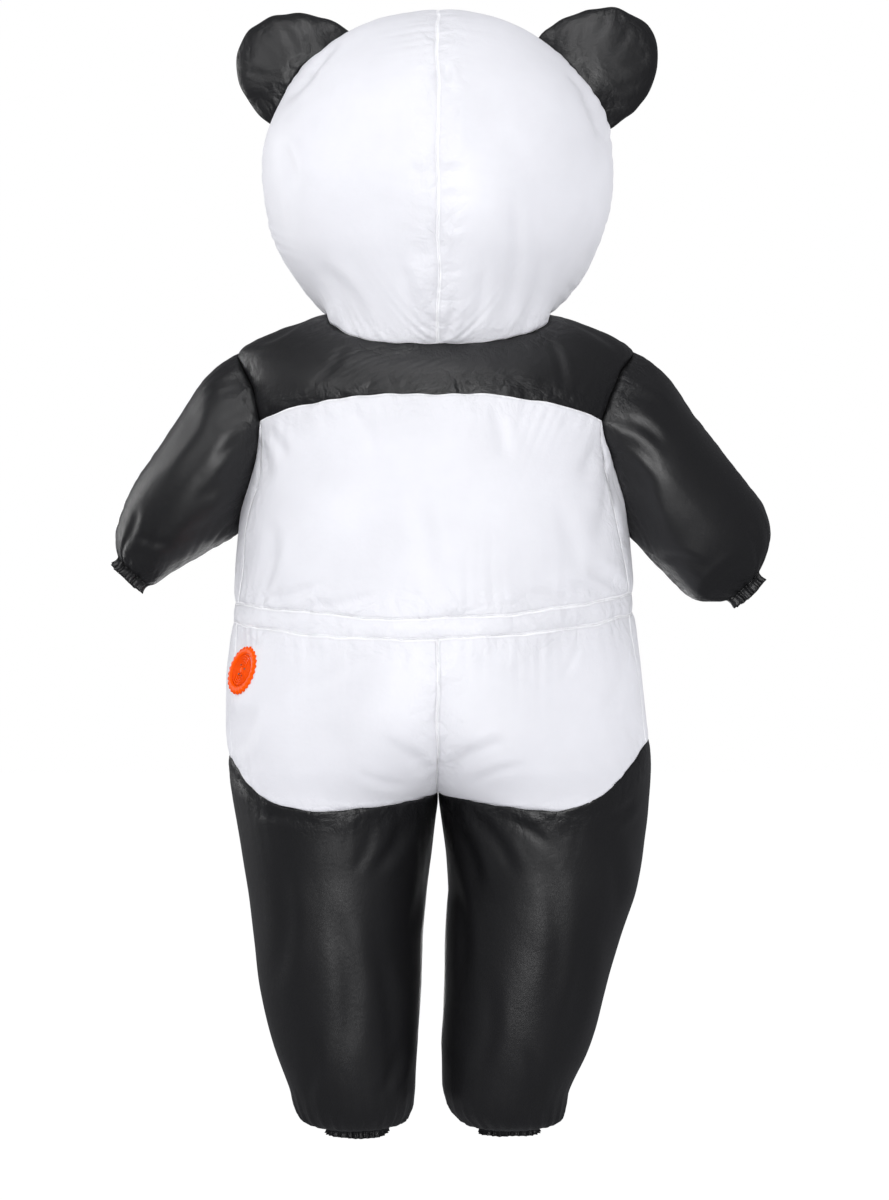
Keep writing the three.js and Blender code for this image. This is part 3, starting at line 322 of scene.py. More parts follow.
# Creases in the photograph's plane, mm: from x, z to x, z, then width and depth. The number after a
# region's name is the face: 1 is the back, and -1 the hidden front, which has similar ones
CREASES = {
    ("head", 1): (
        (-6, 2086, -16, 2052, 9, 5), (48, 1893, 6, 1888, 10, 3), (2, 1889, -46, 1895, 9, 3),
        (206, 1742, 158, 1616, 13, 6), (176, 1722, 128, 1612, 11, 4), (-134, 1836, -118, 1640, 12, 4),
        (-186, 1738, -148, 1618, 12, 5), (22, 1668, 6, 1602, 8, 4), (-26, 1676, -8, 1602, 8, 4),
        (284, 1962, 262, 1880, 12, 5), (-268, 2062, -300, 1984, 14, 8), (-238, 2092, -286, 2046, 10, 5),
        (214, 2120, 276, 2052, 11, 6), (186, 2152, 236, 2098, 9, 4), (70, 1742, 44, 1620, 11, 3),
        (-78, 1722, -62, 1622, 10, 3), (-286, 1792, -236, 1690, 13, 4),
    ),
    ("head", -1): (
        (-190, 1760, -140, 1620, 13, 5), (160, 1780, 110, 1630, 12, 5), (230, 2110, 270, 2030, 12, 5),
        (-240, 2100, -290, 2020, 12, 5),
    ),
    ("torso", 1): (
        (342, 1438, 312, 1352, 15, 7), (318, 1448, 276, 1392, 11, 5), (300, 1270, 322, 1150, 15, 5),
        (-296, 1440, -262, 1362, 13, 6), (-318, 1368, -292, 1252, 16, 7), (-276, 1186, -340, 1142, 12, 6),
        (-232, 1158, -330, 1126, 9, 5), (-160, 1146, -246, 1122, 8, 3), (214, 1162, 330, 1136, 9, 5),
        (120, 1142, 232, 1124, 8, 4), (-214, 1300, -246, 1190, 16, 4), (152, 1478, 118, 1404, 11, 3),
        (-96, 1480, -118, 1390, 12, 3), (36, 1300, 20, 1180, 18, 3), (250, 1660, 330, 1610, 8, 4),
        (-240, 1650, -330, 1600, 8, 4), (172, 1590, 215, 1526, 9, 1.2), (-206, 1604, -225, 1520, 9, 1.6),
    ),
    ("torso", -1): (
        (-220, 1400, -170, 1290, 15, 6), (200, 1420, 250, 1300, 15, 6), (-90, 1240, -150, 1150, 13, 4),
        (110, 1260, 170, 1150, 13, 4),
    ),
    ("hips", 1): (
        (14, 1040, 6, 880, 12, 4), (52, 868, 10, 806, 12, 7), (92, 884, 34, 832, 11, 4),
        (-20, 812, -62, 876, 13, 8), (-38, 842, -116, 884, 10, 5), (-66, 806, -150, 838, 9, 4),
        (60, 800, 142, 828, 9, 4), (-110, 1010, -206, 968, 14, 3), (140, 1030, 232, 980, 14, 3),
        (-352, 1040, -306, 936, 14, 5), (330, 930, 368, 850, 13, 5), (-340, 900, -378, 860, 10, 4),
        (-252, 1052, -226, 1000, 7, 3), (60, 1050, 66, 1004, 6, 3),
    ),
    ("hips", -1): (
        (-60, 870, -20, 800, 13, 7), (70, 880, 30, 800, 13, 7), (-200, 1020, -120, 960, 14, 4),
        (210, 1010, 130, 940, 14, 4),
    ),
    ("legs", 1): (
        (386, 812, 326, 742, 13, 9), (330, 738, 226, 730, 10, 6), (60, 726, 116, 640, 13, 6),
        (26, 700, 48, 520, 12, 5), (120, 730, 150, 640, 12, 4), (286, 640, 300, 420, 17, 5),
        (188, 560, 168, 300, 20, 5), (112, 480, 96, 220, 16, 4), (232, 330, 250, 190, 13, 5),
        (72, 300, 110, 210, 12, 5), (-22, 728, -74, 610, 13, 8), (-66, 738, -136, 640, 12, 6),
        (-118, 742, -196, 690, 10, 4), (-28, 620, -44, 420, 12, 5), (-200, 640, -212, 400, 20, 5),
        (-302, 700, -330, 560, 15, 5), (-262, 520, -240, 330, 16, 6), (-96, 420, -74, 250, 15, 5),
        (-166, 300, -178, 180, 12, 5), (-362, 760, -300, 726, 10, 6),
    ),
    ("legs", -1): (
        (60, 700, 120, 560, 15, 7), (260, 680, 290, 460, 18, 6), (150, 420, 130, 240, 16, 5),
        (-60, 700, -130, 560, 15, 7), (-270, 660, -280, 440, 18, 6), (-140, 400, -120, 230, 16, 5),
    ),
    ("sleeves", 1): (
        (340, 1560, 404, 1516, 13, 6), (346, 1500, 408, 1452, 12, 7), (352, 1452, 420, 1388, 12, 7),
        (362, 1398, 440, 1318, 12, 6), (398, 1296, 470, 1252, 11, 5), (440, 1500, 520, 1380, 16, 5),
        (500, 1236, 560, 1250, 8, 4), (560, 1300, 590, 1226, 9, 5), (530, 1262, 566, 1204, 8, 4),
        (-344, 1566, -402, 1540, 12, 6), (-346, 1508, -420, 1482, 11, 7), (-342, 1466, -410, 1424, 10, 8),
        (-338, 1430, -402, 1376, 10, 8), (-344, 1388, -396, 1318, 11, 7), (-362, 1336, -412, 1262, 11, 6),
        (-440, 1520, -530, 1400, 16, 5), (-420, 1216, -500, 1190, 9, 5), (-500, 1146, -560, 1206, 9, 5),
        (-570, 1280, -604, 1196, 9, 5),
    ),
    ("sleeves", -1): (
        (350, 1500, 420, 1440, 12, 7), (360, 1420, 440, 1330, 12, 7), (480, 1420, 540, 1320, 15, 5),
        (-350, 1500, -420, 1440, 12, 7), (-350, 1400, -430, 1310, 12, 7), (-490, 1400, -560, 1290, 15, 5),
    ),
    ("ears", 1): (
        (300, 2212, 262, 2150, 9, 7), (262, 2226, 244, 2176, 7, 4), (340, 2190, 296, 2140, 8, 5),
        (372, 2126, 318, 2110, 8, 5), (360, 2078, 318, 2070, 7, 4), (322, 2214, 300, 2180, 6, 3),
        (-320, 2236, -296, 2186, 8, 5), (-366, 2220, -330, 2160, 8, 5), (-404, 2166, -350, 2136, 8, 5),
        (-396, 2110, -340, 2096, 8, 6), (-356, 2062, -326, 2074, 7, 5), (-262, 2216, -262, 2180, 7, 4),
    ),
    ("ears", -1): (
        (330, 2200, 290, 2140, 9, 5), (370, 2110, 320, 2100, 8, 5), (-370, 2210, -330, 2150, 9, 5),
        (-400, 2120, -350, 2110, 8, 5),
    ),
}

CREASE_DEPTH = {"head": 1.1, "torso": 1.1, "hips": 0.75, "legs": 0.75, "sleeves": 0.52, "ears": 0.3}
CREASE_BEND, RIDGE, RIDGE_OFF, FACE_FADE = 0.06, 0.45, 1.9, 30

# How seams act on the cloth beside them, mm: their wander and their pull fade, a calm strip lies by
# the zip, and two sizes of billow lie between them
WANDER_FADE, PULL_FADE, CALM_WIDTH = 26, 13, 42
BROAD_BILLOW, SMALL_BILLOW = 230, 80


def creased(region, place):
    """Depth of the creases at each place: a trough with a soft ridge beside it, fading at its ends."""
    x, y, z = np.moveaxis(place, -1, 0)
    total = np.zeros(x.shape)
    for face in FACE_NAMES:
        on_face = np.clip(face * y / FACE_FADE, 0, 1)
        for x0, z0, x1, z1, width, depth in CREASES[region, face]:
            dx, dz = x1 - x0, z1 - z0
            length = math.hypot(dx, dz)
            along = ((x - x0) * dx + (z - z0) * dz) / length
            bend = CREASE_BEND * length * np.sin(math.pi * np.clip(along / length, 0, 1))
            aside = ((x - x0) * dz - (z - z0) * dx) / length - bend
            end = np.exp(-((2 * np.clip(along / length, -0.5, 1.5) - 1) ** 4) * 1.1)
            ridge = RIDGE * np.exp(-(((aside - RIDGE_OFF * width) / width) ** 2))
            total += depth * end * (np.exp(-((aside / width) ** 2)) - ridge) * on_face
    return CREASE_DEPTH[region] * total


def fan_middle():
    return trousers(1, FAN["angle"], FAN["height"])


def pleats_over_fan(place):
    """Short upright pleats between the waist band and the fan, where the fan's pocket is gathered."""
    x, y, z = np.moveaxis(place, -1, 0)
    middle = fan_middle()
    beside = np.arctan2(y, np.maximum(x, 1)) - np.arctan2(middle[1], middle[0])
    beside = beside * PLEATS["hip_radius"]
    wave = np.sin(TURN * beside / PLEATS["pitch"] + 0.7 * np.sin(z / PLEATS["pitch"]))
    spread = np.exp(-((beside / PLEATS["half_width"]) ** 4))
    fall = np.exp(-(((z - PLEATS["height"]) / PLEATS["half_height"]) ** 4))
    return np.where((x > 0) & (y > 0), PLEATS["depth"] * wave * spread * fall, 0)


def leaning_at_fan(place):
    """The fan's weight turns the cloth under it: out below its middle and in above it."""
    rise = place[..., 2] - FAN["height"]
    reach = np.linalg.norm(place - fan_middle(), axis=-1)
    return -FAN["lean"] * rise * np.exp(-((reach / FAN["lean_reach"]) ** 4))


def billow(place, size, seed):
    """Smooth noise from a few crossing waves, between about -1 and 1."""
    waves, peak = 7, 3.2
    rng = np.random.default_rng(seed)
    total = np.zeros(place.shape[:-1])
    for _ in range(waves):
        way = rng.normal(size=3)
        way *= rng.uniform(0.7, 1.5) / np.linalg.norm(way) * TURN / size
        total += np.sin(place @ way + rng.uniform(0, TURN))
    return total / peak


def pucker(along, off, seed, height, reach):
    """Uneven ripples square to a seam: along runs with the seam, off is the distance from it.

    Broad puffs of two pitches, a fine ripple close to the seam, and a strength that wanders along
    it. Each number that a length is divided by is a pitch or a reach in mm.
    """
    rng = np.random.default_rng(seed)
    phase = rng.uniform(0, TURN, 5)
    lean = 0.25 * np.sin(along / 140 + phase[4])
    s = along + lean * off
    puff = 0.6 * np.abs(np.sin(TURN * s / 52 + phase[0] + 1.4 * np.sin(s / 47))) ** 0.7
    puff += 0.45 * np.abs(np.sin(TURN * s / 76 + phase[1] + 1.2 * np.sin(s / 61))) ** 0.7
    fine = 0.22 * np.sin(TURN * s / 15 + phase[2] + 1.5 * np.sin(s / 29))
    uneven = 0.5 + 0.5 * np.sin(s / 83 + phase[3]) * np.sin(s / 37 + phase[2])
    own_reach = reach * (0.55 + 0.9 * uneven)
    ripple = 1.6 * (puff - 0.68) + fine * np.exp(-off / 12)
    return height * ripple * (0.45 + uneven) * np.exp(-off / own_reach) * off / (off + 4)


def rising(value, start, run):
    return np.clip((value - start) / run, 0, 1)


def wobble(grid):
    """Seams of blown-up cloth wander a little: one field moves all panels alike, so seams still meet."""
    rng = np.random.default_rng(9)
    total = np.zeros(grid.shape)
    for size, reach in ((150, 1.6), (84, 1.3), (46, 0.8)):
        for _ in range(3):
            way = rng.normal(size=3)
            way *= TURN / size / np.linalg.norm(way)
            shift = rng.normal(size=3)
            shift *= reach / np.linalg.norm(shift)
            total += np.sin(grid @ way + rng.uniform(0, TURN))[..., None] * shift

    # The seam round each ear is gathered into a small zigzag on its lower side
    x, z = grid[..., 0], grid[..., 2]
    near_ear = rising(np.abs(x), 150, 60) * rising(z, 1960, 60)
    zigzag = np.sin(TURN * z / 47 + 1.6 * np.sin(x / 21))
    lower_side = (1 - rising(np.abs(x), 250, 40)) * (1 - rising(z, 2115, 50))
    pulled = (2.6 * near_ear * lower_side * zigzag)[..., None]
    total += pulled * np.sign(grid[..., :1]) * np.array([1, 0, 0.6])
    return total * (1 + 0.7 * near_ear)[..., None]


# Cloth: a grid of places is relieved along its normals and becomes a thin shell
def unit(vectors):
    return vectors / np.linalg.norm(vectors, axis=-1, keepdims=True)


def outward(places, middle, axis):
    """Unit directions away from an axis through middle."""
    out = places - middle
    out -= (out @ axis)[..., None] * axis
    return unit(out)


def lengths(places, axis):
    """Distance in mm from the first place to each, along one axis of a line or grid of places."""
    strides = np.linalg.norm(np.diff(places, axis=axis), axis=-1)
    return np.insert(np.cumsum(strides, axis=axis), 0, 0, axis=axis)


def normals_of(grid, core, closed):
    if closed:
        wrapped = np.concatenate([grid[-2:-1], grid, grid[1:2]], axis=0)
        across = wrapped[2:] - wrapped[:-2]
    else:
        across = np.gradient(grid, axis=0)
    normal = np.cross(across, np.gradient(grid, axis=1))
    normal /= np.maximum(np.linalg.norm(normal, axis=-1, keepdims=True), 1e-9)
    pole = 0.01
    for edge, near in ((0, 1), (-1, -2)):
        if np.ptp(grid[:, edge], axis=0).max() < pole:
            normal[:, edge] = unit(normal[:, near].mean(axis=0))
        if np.ptp(grid[edge], axis=0).max() < pole:
            normal[edge] = unit(normal[near].mean(axis=0))
    middle = (grid.shape[0] // 2, grid.shape[1] // 2)
    return normal * np.sign(np.dot(normal[middle], grid[middle] - np.array(core, float)))


def relieved(grid, core, region, puckers, closed, fullness, seed, calm):
    """Move a grid out along its normals: fullness between seams, billows, creases and puckers.

    A calm piece stays flat beside its last edge, where the zip lies on it.
    """
    across, up = lengths(grid, 0), lengths(grid, 1)
    off = {"first": across, "last": across[-1:] - across, "low": up, "high": up[:, -1:] - up}
    run = {"first": up, "last": up, "low": across, "high": across}
    nearest = np.full(grid.shape[:2], 1e3)
    beside = np.zeros(grid.shape[:2])
    for edge in ("low", "high") if closed else off:
        beside = np.where(off[edge] < nearest, run[edge], beside)
        nearest = np.minimum(nearest, off[edge])
    grid = grid + wobble(grid) * np.exp(-nearest / WANDER_FADE)[..., None]
    normal = normals_of(grid, core, closed)
    move = fullness + 1.5 * billow(grid, BROAD_BILLOW, seed) + 0.25 * billow(grid, SMALL_BILLOW, seed + 7)
    move = move - creased(region, grid)
    if region == "hips":
        move = move - pleats_over_fan(grid) + leaning_at_fan(grid)
    for number, (edge, (height, reach)) in enumerate(puckers.items()):
        move = move + pucker(run[edge], off[edge], seed * 11 + number, height, reach)
    move = move * (1 - np.exp(-nearest / PULL_FADE))
    if calm:
        move = move * (1 - np.exp(-(off["last"] / CALM_WIDTH) ** 2))
    return grid + normal * move[..., None], normal, nearest, beside


def facing_in(grid, normal):
    """True where the grid's own face order looks in and not out."""
    i, j = grid.shape[0] // 2, grid.shape[1] // 2
    across = grid[min(i + 1, grid.shape[0] - 1), j] - grid[i - 1, j]
    up = grid[i, min(j + 1, grid.shape[1] - 1)] - grid[i, j - 1]
    return np.dot(np.cross(across, up), normal[i, j]) < 0


def linked(name, data):
    made = bpy.data.objects.new(name, data)
    bpy.context.scene.collection.objects.link(made)
    return made


def add_piece(name, places, faces, material):
    """A new object from places in the tables' millimetres."""
    flat = np.array(places).reshape(-1, 3) * MM
    flat[:, 2] -= HOLD_HEIGHT * MM
    mesh = bpy.data.meshes.new(name)
    mesh.from_pydata(flat.tolist(), [], faces)
    mesh.materials.append(material)
    return linked(name, mesh)


def edit_mesh(mesh, *edits):
    work = bmesh.new()
    work.from_mesh(mesh)
    for edit in edits:
        edit(work)
    work.to_mesh(mesh)
    work.free()


def weld(work):
    bmesh.ops.remove_doubles(work, verts=work.verts, dist=1e-6)


def turn_over(work):
    bmesh.ops.reverse_faces(work, faces=work.faces)


def face_out(work):
    bmesh.ops.recalc_face_normals(work, faces=work.faces)


def join_flats(work):
    flat = math.radians(2)
    bmesh.ops.dissolve_limit(work, angle_limit=flat, verts=work.verts, edges=work.edges)


def apply_modifiers(piece):
    bpy.context.view_layer.update()
    evaluated = piece.evaluated_get(bpy.context.evaluated_depsgraph_get())
    mesh = bpy.data.meshes.new_from_object(evaluated)
    old = piece.data
    piece.modifiers.clear()
    piece.data = mesh
    bpy.data.meshes.remove(old)
    mesh.name = piece.name


def smooth(piece):
    piece.data.polygons.foreach_set("use_smooth", [True] * len(piece.data.polygons))


def soften(piece, radius, segments):
    """Face everything out and bevel the edges."""
    edit_mesh(piece.data, face_out)
    edge = piece.modifiers.new("edge", "BEVEL")
    edge.width = radius * MM
    edge.segments = segments
    edge.limit_method = "ANGLE"
    edge.harden_normals = False
    apply_modifiers(piece)


# Materials: each is built on one Principled node, with a fine weave and soft crinkles as bump
def rgba(colour):
    return (*colour, 1)


def feed(tree, made, inputs):
    """Set each named input of a node, or link it where its value is another node's output."""
    for slot, value in inputs.items():
        if isinstance(value, bpy.types.NodeSocket):
            tree.links.new(value, made.inputs[slot])
        else:
            made.inputs[slot].default_value = value


def node(tree, kind, inputs=None, **settings):
    made = tree.nodes.new("ShaderNode" + kind)
    for key, value in settings.items():
        setattr(made, key, value)
    feed(tree, made, inputs or {})
    return made


def new_material(name, colour, roughness):
    material = bpy.data.materials.new(name)
    material.use_nodes = True
    tree = material.node_tree
    shader = tree.nodes["Principled BSDF"]
    feed(tree, shader, {"Base Color": rgba(colour), "Roughness": roughness})
    return material, tree, shader


def math_node(tree, operation, first, second=None):
    values = {0: first} if second is None else {0: first, 1: second}
    return node(tree, "Math", values, operation=operation).outputs[0]


def object_place(tree):
    return node(tree, "TexCoord").outputs["Object"]


def noise(tree, place, scale, detail=3.0, distortion=0.0):
    values = {"Scale": scale, "Detail": detail, "Distortion": distortion, "Vector": place}
    return node(tree, "TexNoise", values).outputs["Fac"]


def map_range(tree, value, low, high, start=0.0, end=1.0, kind="LINEAR"):
    """The value between start and end, mapped to between low and high."""
    values = {"Value": value, "From Min": start, "From Max": end, "To Min": low, "To Max": high}
    return node(tree, "MapRange", values, interpolation_type=kind).outputs["Result"]


def bump(tree, height, distance, strength, below=None):
    values = {"Height": height, "Distance": distance, "Strength": strength}
    if below is not None:
        values["Normal"] = below
    return node(tree, "Bump", values).outputs["Normal"]


def mixed(tree, kind, share, first, second):
    values = {"Fac": share, "Color1": first, "Color2": second}
    return node(tree, "MixRGB", values, blend_type=kind).outputs["Color"]


def kept_on_cloth(tree, key):
    """A distance in mm that each place of the cloth keeps."""
    return node(tree, "Attribute", attribute_name=key).outputs["Fac"]


def weave_height(tree, threads_per_metre):
    """Warp and weft in the cloth's own uv, which is in metres."""
    uv = node(tree, "UVMap", uv_map="cloth").outputs["UV"]
    split = node(tree, "SeparateXYZ", {0: uv})
    waves = [math_node(tree, "SINE", math_node(tree, "MULTIPLY", split.outputs[axis],
                                               threads_per_metre * TURN)) for axis in ("X", "Y")]
    return math_node(tree, "MULTIPLY", *waves)


def band_near_seam(tree, start, end):
    """1 on the seam and 0 past end, in millimetres."""
    return map_range(tree, kept_on_cloth(tree, "seam_mm"), 1, 0, start, end, "SMOOTHSTEP")


def stitches(tree, from_edge, length):
    """Dashes of thread along each seam: 1 on a stitch and 0 beside it."""
    half_thread, share = 0.45, 0.7
    seam = kept_on_cloth(tree, "seam_mm")
    off = math_node(tree, "ABSOLUTE", math_node(tree, "SUBTRACT", seam, from_edge))
    phase = math_node(tree, "FRACT", math_node(tree, "DIVIDE", kept_on_cloth(tree, "along_mm"), length))
    return math_node(tree, "MULTIPLY", math_node(tree, "LESS_THAN", off, half_thread),
                     math_node(tree, "LESS_THAN", phase, share))


def taffeta(name, colour, seam_edge_colour, roughness, sheen, gloss):
    """Fine crumpled cloth: the crumples gather at its seams, over the grain, the weave and the stitches."""
    material, tree, shader = new_material(name, colour, roughness)
    place = object_place(tree)
    mottle = noise(tree, place, 5.0, 4.0)
    tint = mixed(tree, "MULTIPLY", 0.25, rgba(colour), mottle)
    # By each seam the colour turns to the second colour given: on the white cloth a painted highlight, the
    # glow of light through the thin seam edges; on the black cloth the seams are only darker
    seam_edge_tone = mixed(tree, "MIX", band_near_seam(tree, 0.6, 4.6), tint, rgba(seam_edge_colour))
    folds = math_node(tree, "SUBTRACT", noise(tree, place, 17.0, 6.0, 0.3), 0.5)
    at_seams = math_node(tree, "ADD", band_near_seam(tree, 4.0, 70.0), 0.07)
    crumple = math_node(tree, "MULTIPLY", math_node(tree, "ABSOLUTE", folds), at_seams)
    relief = bump(tree, crumple, 0.013, 1.0)
    relief = bump(tree, noise(tree, place, 120.0), 0.0006, 0.5, relief)
    relief = bump(tree, weave_height(tree, 1500), 0.00006, 0.35, relief)
    feed(tree, shader, {
        "Base Color": seam_edge_tone,
        "Normal": bump(tree, stitches(tree, 4.0, 3.4), 0.0006, 0.9, relief),
        "Roughness": map_range(tree, mottle, roughness - 0.07, roughness + 0.09),
        "Sheen Weight": sheen,
        "Sheen Roughness": 0.45,
        "Specular IOR Level": gloss,
    })
    return material, tree, shader


def white_taffeta():
    # The second colour is a painted highlight along the seams: light glowing through the thin edges of the
    # cloth
    material, tree, shader = taffeta("white_taffeta", (0.86, 0.86, 0.885), (0.99, 0.99, 0.995), 0.46,
                                     0.12, 0.3)
    feed(tree, shader, {"Subsurface Weight": 0.12, "Subsurface Radius": (0.02, 0.02, 0.022),
                        "Subsurface Scale": 0.5})
    return material


def black_taffeta():
    return taffeta("black_taffeta", (0.0095, 0.0095, 0.0105), (0.005, 0.005, 0.0055), 0.4, 0.0, 0.36)[0]


def window_mesh():
    """Dark see-through net of the vision window, its holes as bump and colour."""
    material, tree, shader = new_material("window_mesh", (0.02, 0.02, 0.022), 0.75)
    holes = weave_height(tree, 420)
    feed(tree, shader, {"Base Color": map_range(tree, holes, 0.004, 0.05, -0.5, 0.5),
                        "Normal": bump(tree, holes, 0.0003, 0.6)})
    return material


def orange_plastic():
    material, tree, shader = new_material("orange_plastic", (0.88, 0.088, 0.0005), 0.45)
    place = object_place(tree)
    grain = noise(tree, place, 900.0, 2.0)
    worn = noise(tree, place, 26.0, 4.0)
    feed(tree, shader, {"Roughness": map_range(tree, worn, 0.24, 0.46),
                        "Normal": bump(tree, grain, 0.00008, 0.4), "Specular IOR Level": 0.04})
    return material


def dark_plastic():
    material, tree, shader = new_material("dark_plastic", (0.03, 0.008, 0.005), 0.5)
    feed(tree, shader, {"Normal": bump(tree, noise(tree, object_place(tree), 700.0), 0.0001, 0.4)})
    return material


def zip_metal():
    material, tree, shader = new_material("zip_metal", (0.62, 0.62, 0.64), 0.28)
    scratched = noise(tree, object_place(tree), 400.0, 4.0, 1.5)
    feed(tree, shader, {"Roughness": map_range(tree, scratched, 0.2, 0.42),
                        "Normal": bump(tree, scratched, 0.00005, 0.5), "Metallic": 1.0})
    return material


LOOKS = {"white": white_taffeta(), "black": black_taffeta(), "net": window_mesh(),
         "orange": orange_plastic(), "dark": dark_plastic(), "metal": zip_metal()}


# Panels: each is a grid of fine cells on the form that its solid has
ARM_CELLS, BACK_CELLS, FRONT_CELLS, LOW_ARM_CELLS = 44, 130, 64, 80
YOKE_ROWS, TORSO_ROWS, BAND_ROWS, HIP_ROWS, LEG_ROWS = 34, 74, 9, 58, 96
BAND_FRONT_CELLS, BAND_BACK_CELLS = 150, 160
HIP_CELLS = {1: ("seat", 100), -1: ("hip_front", 96)}
LEG_BACK_CELLS, LEG_FRONT_CELLS, SLEEVE_CELLS, SLEEVE_ROWS = 80, 110, 74, 88
HEAD_CELLS = {1: (34, 60), -1: (26, 42)}
HEAD_ROWS = {1: (30, 46, 78), -1: (22, 32, 56)}
EAR_CELLS, EAR_ROWS, PATCH_CELLS, PATCH_ROWS = 64, 40, 72, 16
TAPE_CELLS, TAPE_ROWS = 12, 260

# A place inside each part, which its cloth faces away from; x is for the left side
CORES = {"torso": (0, 0, 1350), "zip": (0, 0, 1200), "band": (0, 0, 1100), "hips": (100, 0, 900),
         "leg": (200, 0, 500), "head": (0, 0, HEAD_MIDDLE)}

# Folds of the elastic edges: how many go round, their height in mm and their seed
FOLDS = {"leg": (27, 5.0, 31), "sleeve": (15, 4.5, 51), "wrist_cuff": (30, 1.2, 61)}
ANKLE_CUFF_FOLD = 1.6

# Elastic cuffs, mm: how far each ring lies below the hem or past the wrist, and how far out it flares
ANKLE_CUFF = {"run": (0, 1.5, 4, 8, 12, 16), "flare": (0, -1.2, -2.6, -3.4, -2.6, -0.8)}
WRIST_CUFF = {"run": (0, 2, 6, 11, 16, 20), "flare": (0, -1.5, -2.8, -3.2, -2.0, -0.4)}
HEM_ROWS = (132, 133.5, 136, 139, 143, 148, 154, 161, 170, 180, 192, 205)


def steps(count):
    return np.linspace(0, 1, count + 1)


def lerp(one, other, t):
    return one + (other - one) * t


def on_side(side, angle):
    return angle if side > 0 else math.pi - angle


def inside(part, side=1):
    x, y, z = CORES[part]
    return side * x, y, z


def sew_on(name, look, grid, normal, nearest, beside, thickness=SHELL, closed=True):
    """A thin shell on a grid of places, for its solid, with its uv in metres of cloth.

    Each place keeps its distance from the nearest edge and its run along that edge.
    """
    columns, rows = grid.shape[:2]
    used = columns - 1 if closed else columns
    faces = []
    corners = []
    for i in range(columns - 1):
        right = (i + 1) % used
        for j in range(rows - 1):
            faces.append((i * rows + j, right * rows + j, right * rows + j + 1, i * rows + j + 1))
            corners += [(i, j), (i + 1, j), (i + 1, j + 1), (i, j + 1)]
    piece = add_piece(name, grid[:used], faces, LOOKS[look])
    uv = np.stack([lengths(grid, 0), lengths(grid, 1)], axis=-1) * MM
    layer = piece.data.uv_layers.new(name="cloth")
    layer.data.foreach_set("uv", uv[tuple(np.array(corners).T)].astype(np.float32).ravel())
    for key, values in (("seam_mm", nearest), ("along_mm", beside)):
        attribute = piece.data.attributes.new(key, "FLOAT", "POINT")
        attribute.data.foreach_set("value", values[:used].ravel().astype(np.float32))
    edit_mesh(piece.data, weld, *([turn_over] if facing_in(grid, normal) else []))
    wall = piece.modifiers.new("wall", "SOLIDIFY")
    wall.thickness = thickness
    wall.offset = -1
    apply_modifiers(piece)
    smooth(piece)
    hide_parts(name)
    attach(piece, "suit")


def panel(name, kind, grid, core, own_seed=0, closed=False, fullness=3.0):
    """One cut piece of cloth; its own seed tells it from the others of its kind."""
    look, region, seed, puckers = PANELS[kind]
    calm = plain_name(name) in BESIDE_ZIP
    seed += own_seed
    relief, normal, nearest, beside = relieved(grid, core, region, puckers, closed, fullness, seed, calm)
    sew_on(name, look, relief, normal, nearest, beside, closed=closed)


def plain_name(name):
    return name.removesuffix("_left").removesuffix("_right")


def torso_panel(name, low, high, rows, own_seed=0):
    """Between two seams of equal count on the torso, each an array of angles and one of heights."""
    t = steps(rows)[None, :]
    angle = lerp(low[0][:, None], high[0][:, None], t)
    height = lerp(low[1][:, None], high[1][:, None], t)
    panel(name, plain_name(name), torso(angle, height), inside("torso"), own_seed)


def waist_seam(angle):
    return angle, waist_height(angle) + BAND_HALF


def yoke_seam(angle):
    corner = np.where((angle > 0) & (angle < QUARTER), ARM_ANGLE_LEFT_BACK, ARM_ANGLE)
    off = (QUARTER - np.abs(angle)) / (QUARTER - corner)
    return lerp(ARM_CORNER, YOKE_MIDDLE, 1 - off**2)


def joined(*parts):
    """Several stretches of a seam as one, each without the end that the next one starts with."""
    kept = [(a[:-1], h[:-1]) for a, h in parts[:-1]] + [parts[-1]]
    return np.concatenate([a for a, _ in kept]), np.concatenate([h for _, h in kept])


def high_arm(side, way):
    """The armhole's seam from the shoulder to the yoke's corner."""
    return armhole(side, way * QUARTER * steps(ARM_CELLS) + way * 1e-9)


def neck_angles(arm_cells, seam_cells):
    """Angles at the neck from the shoulder to the middle."""
    first = NECK_AT_CORNER * steps(arm_cells)
    second = lerp(NECK_AT_CORNER, QUARTER, steps(seam_cells))
    return np.concatenate([first[:-1], second])


def make_back():
    half = steps(BACK_CELLS // 2)
    angle = np.concatenate([lerp(ARM_ANGLE_LEFT_BACK, QUARTER, half)[:-1],
                            lerp(QUARTER, math.pi - ARM_ANGLE, half)])
    seam = (angle, yoke_seam(angle))
    low = lerp(SIDE_SEAM, math.pi - SIDE_SEAM, steps(BACK_CELLS))
    torso_panel("back_panel", waist_seam(low), seam, TORSO_ROWS)

    right_turn, right_height = high_arm(-1, 1)
    low_edge = joined(high_arm(1, 1), seam, (right_turn[::-1], right_height[::-1]))
    half = neck_angles(ARM_CELLS, BACK_CELLS // 2)
    neck = np.concatenate([half, (math.pi - half[:-1])[::-1]])
    torso_panel("yoke_back", low_edge, (neck, neck_height(neck)), YOKE_ROWS)


def make_front(side):
    name = SIDE_NAMES[side]
    angle = lerp(-ARM_ANGLE, -QUARTER, steps(FRONT_CELLS))
    seam = (on_side(side, angle), yoke_seam(angle))
    neck = on_side(side, -neck_angles(ARM_CELLS, FRONT_CELLS))
    torso_panel(f"yoke_front_{name}", joined(high_arm(side, -1), seam), (neck, neck_height(neck)),
                YOKE_ROWS, side)

    underarm = armhole(side, lerp(QUARTER, TURN - QUARTER, steps(LOW_ARM_CELLS)))
    high = joined(underarm, seam)
    low = on_side(side, lerp(SIDE_SEAM, -QUARTER, steps(len(high[0]) - 1)))
    torso_panel(f"front_{name}", waist_seam(low), high, TORSO_ROWS, side)


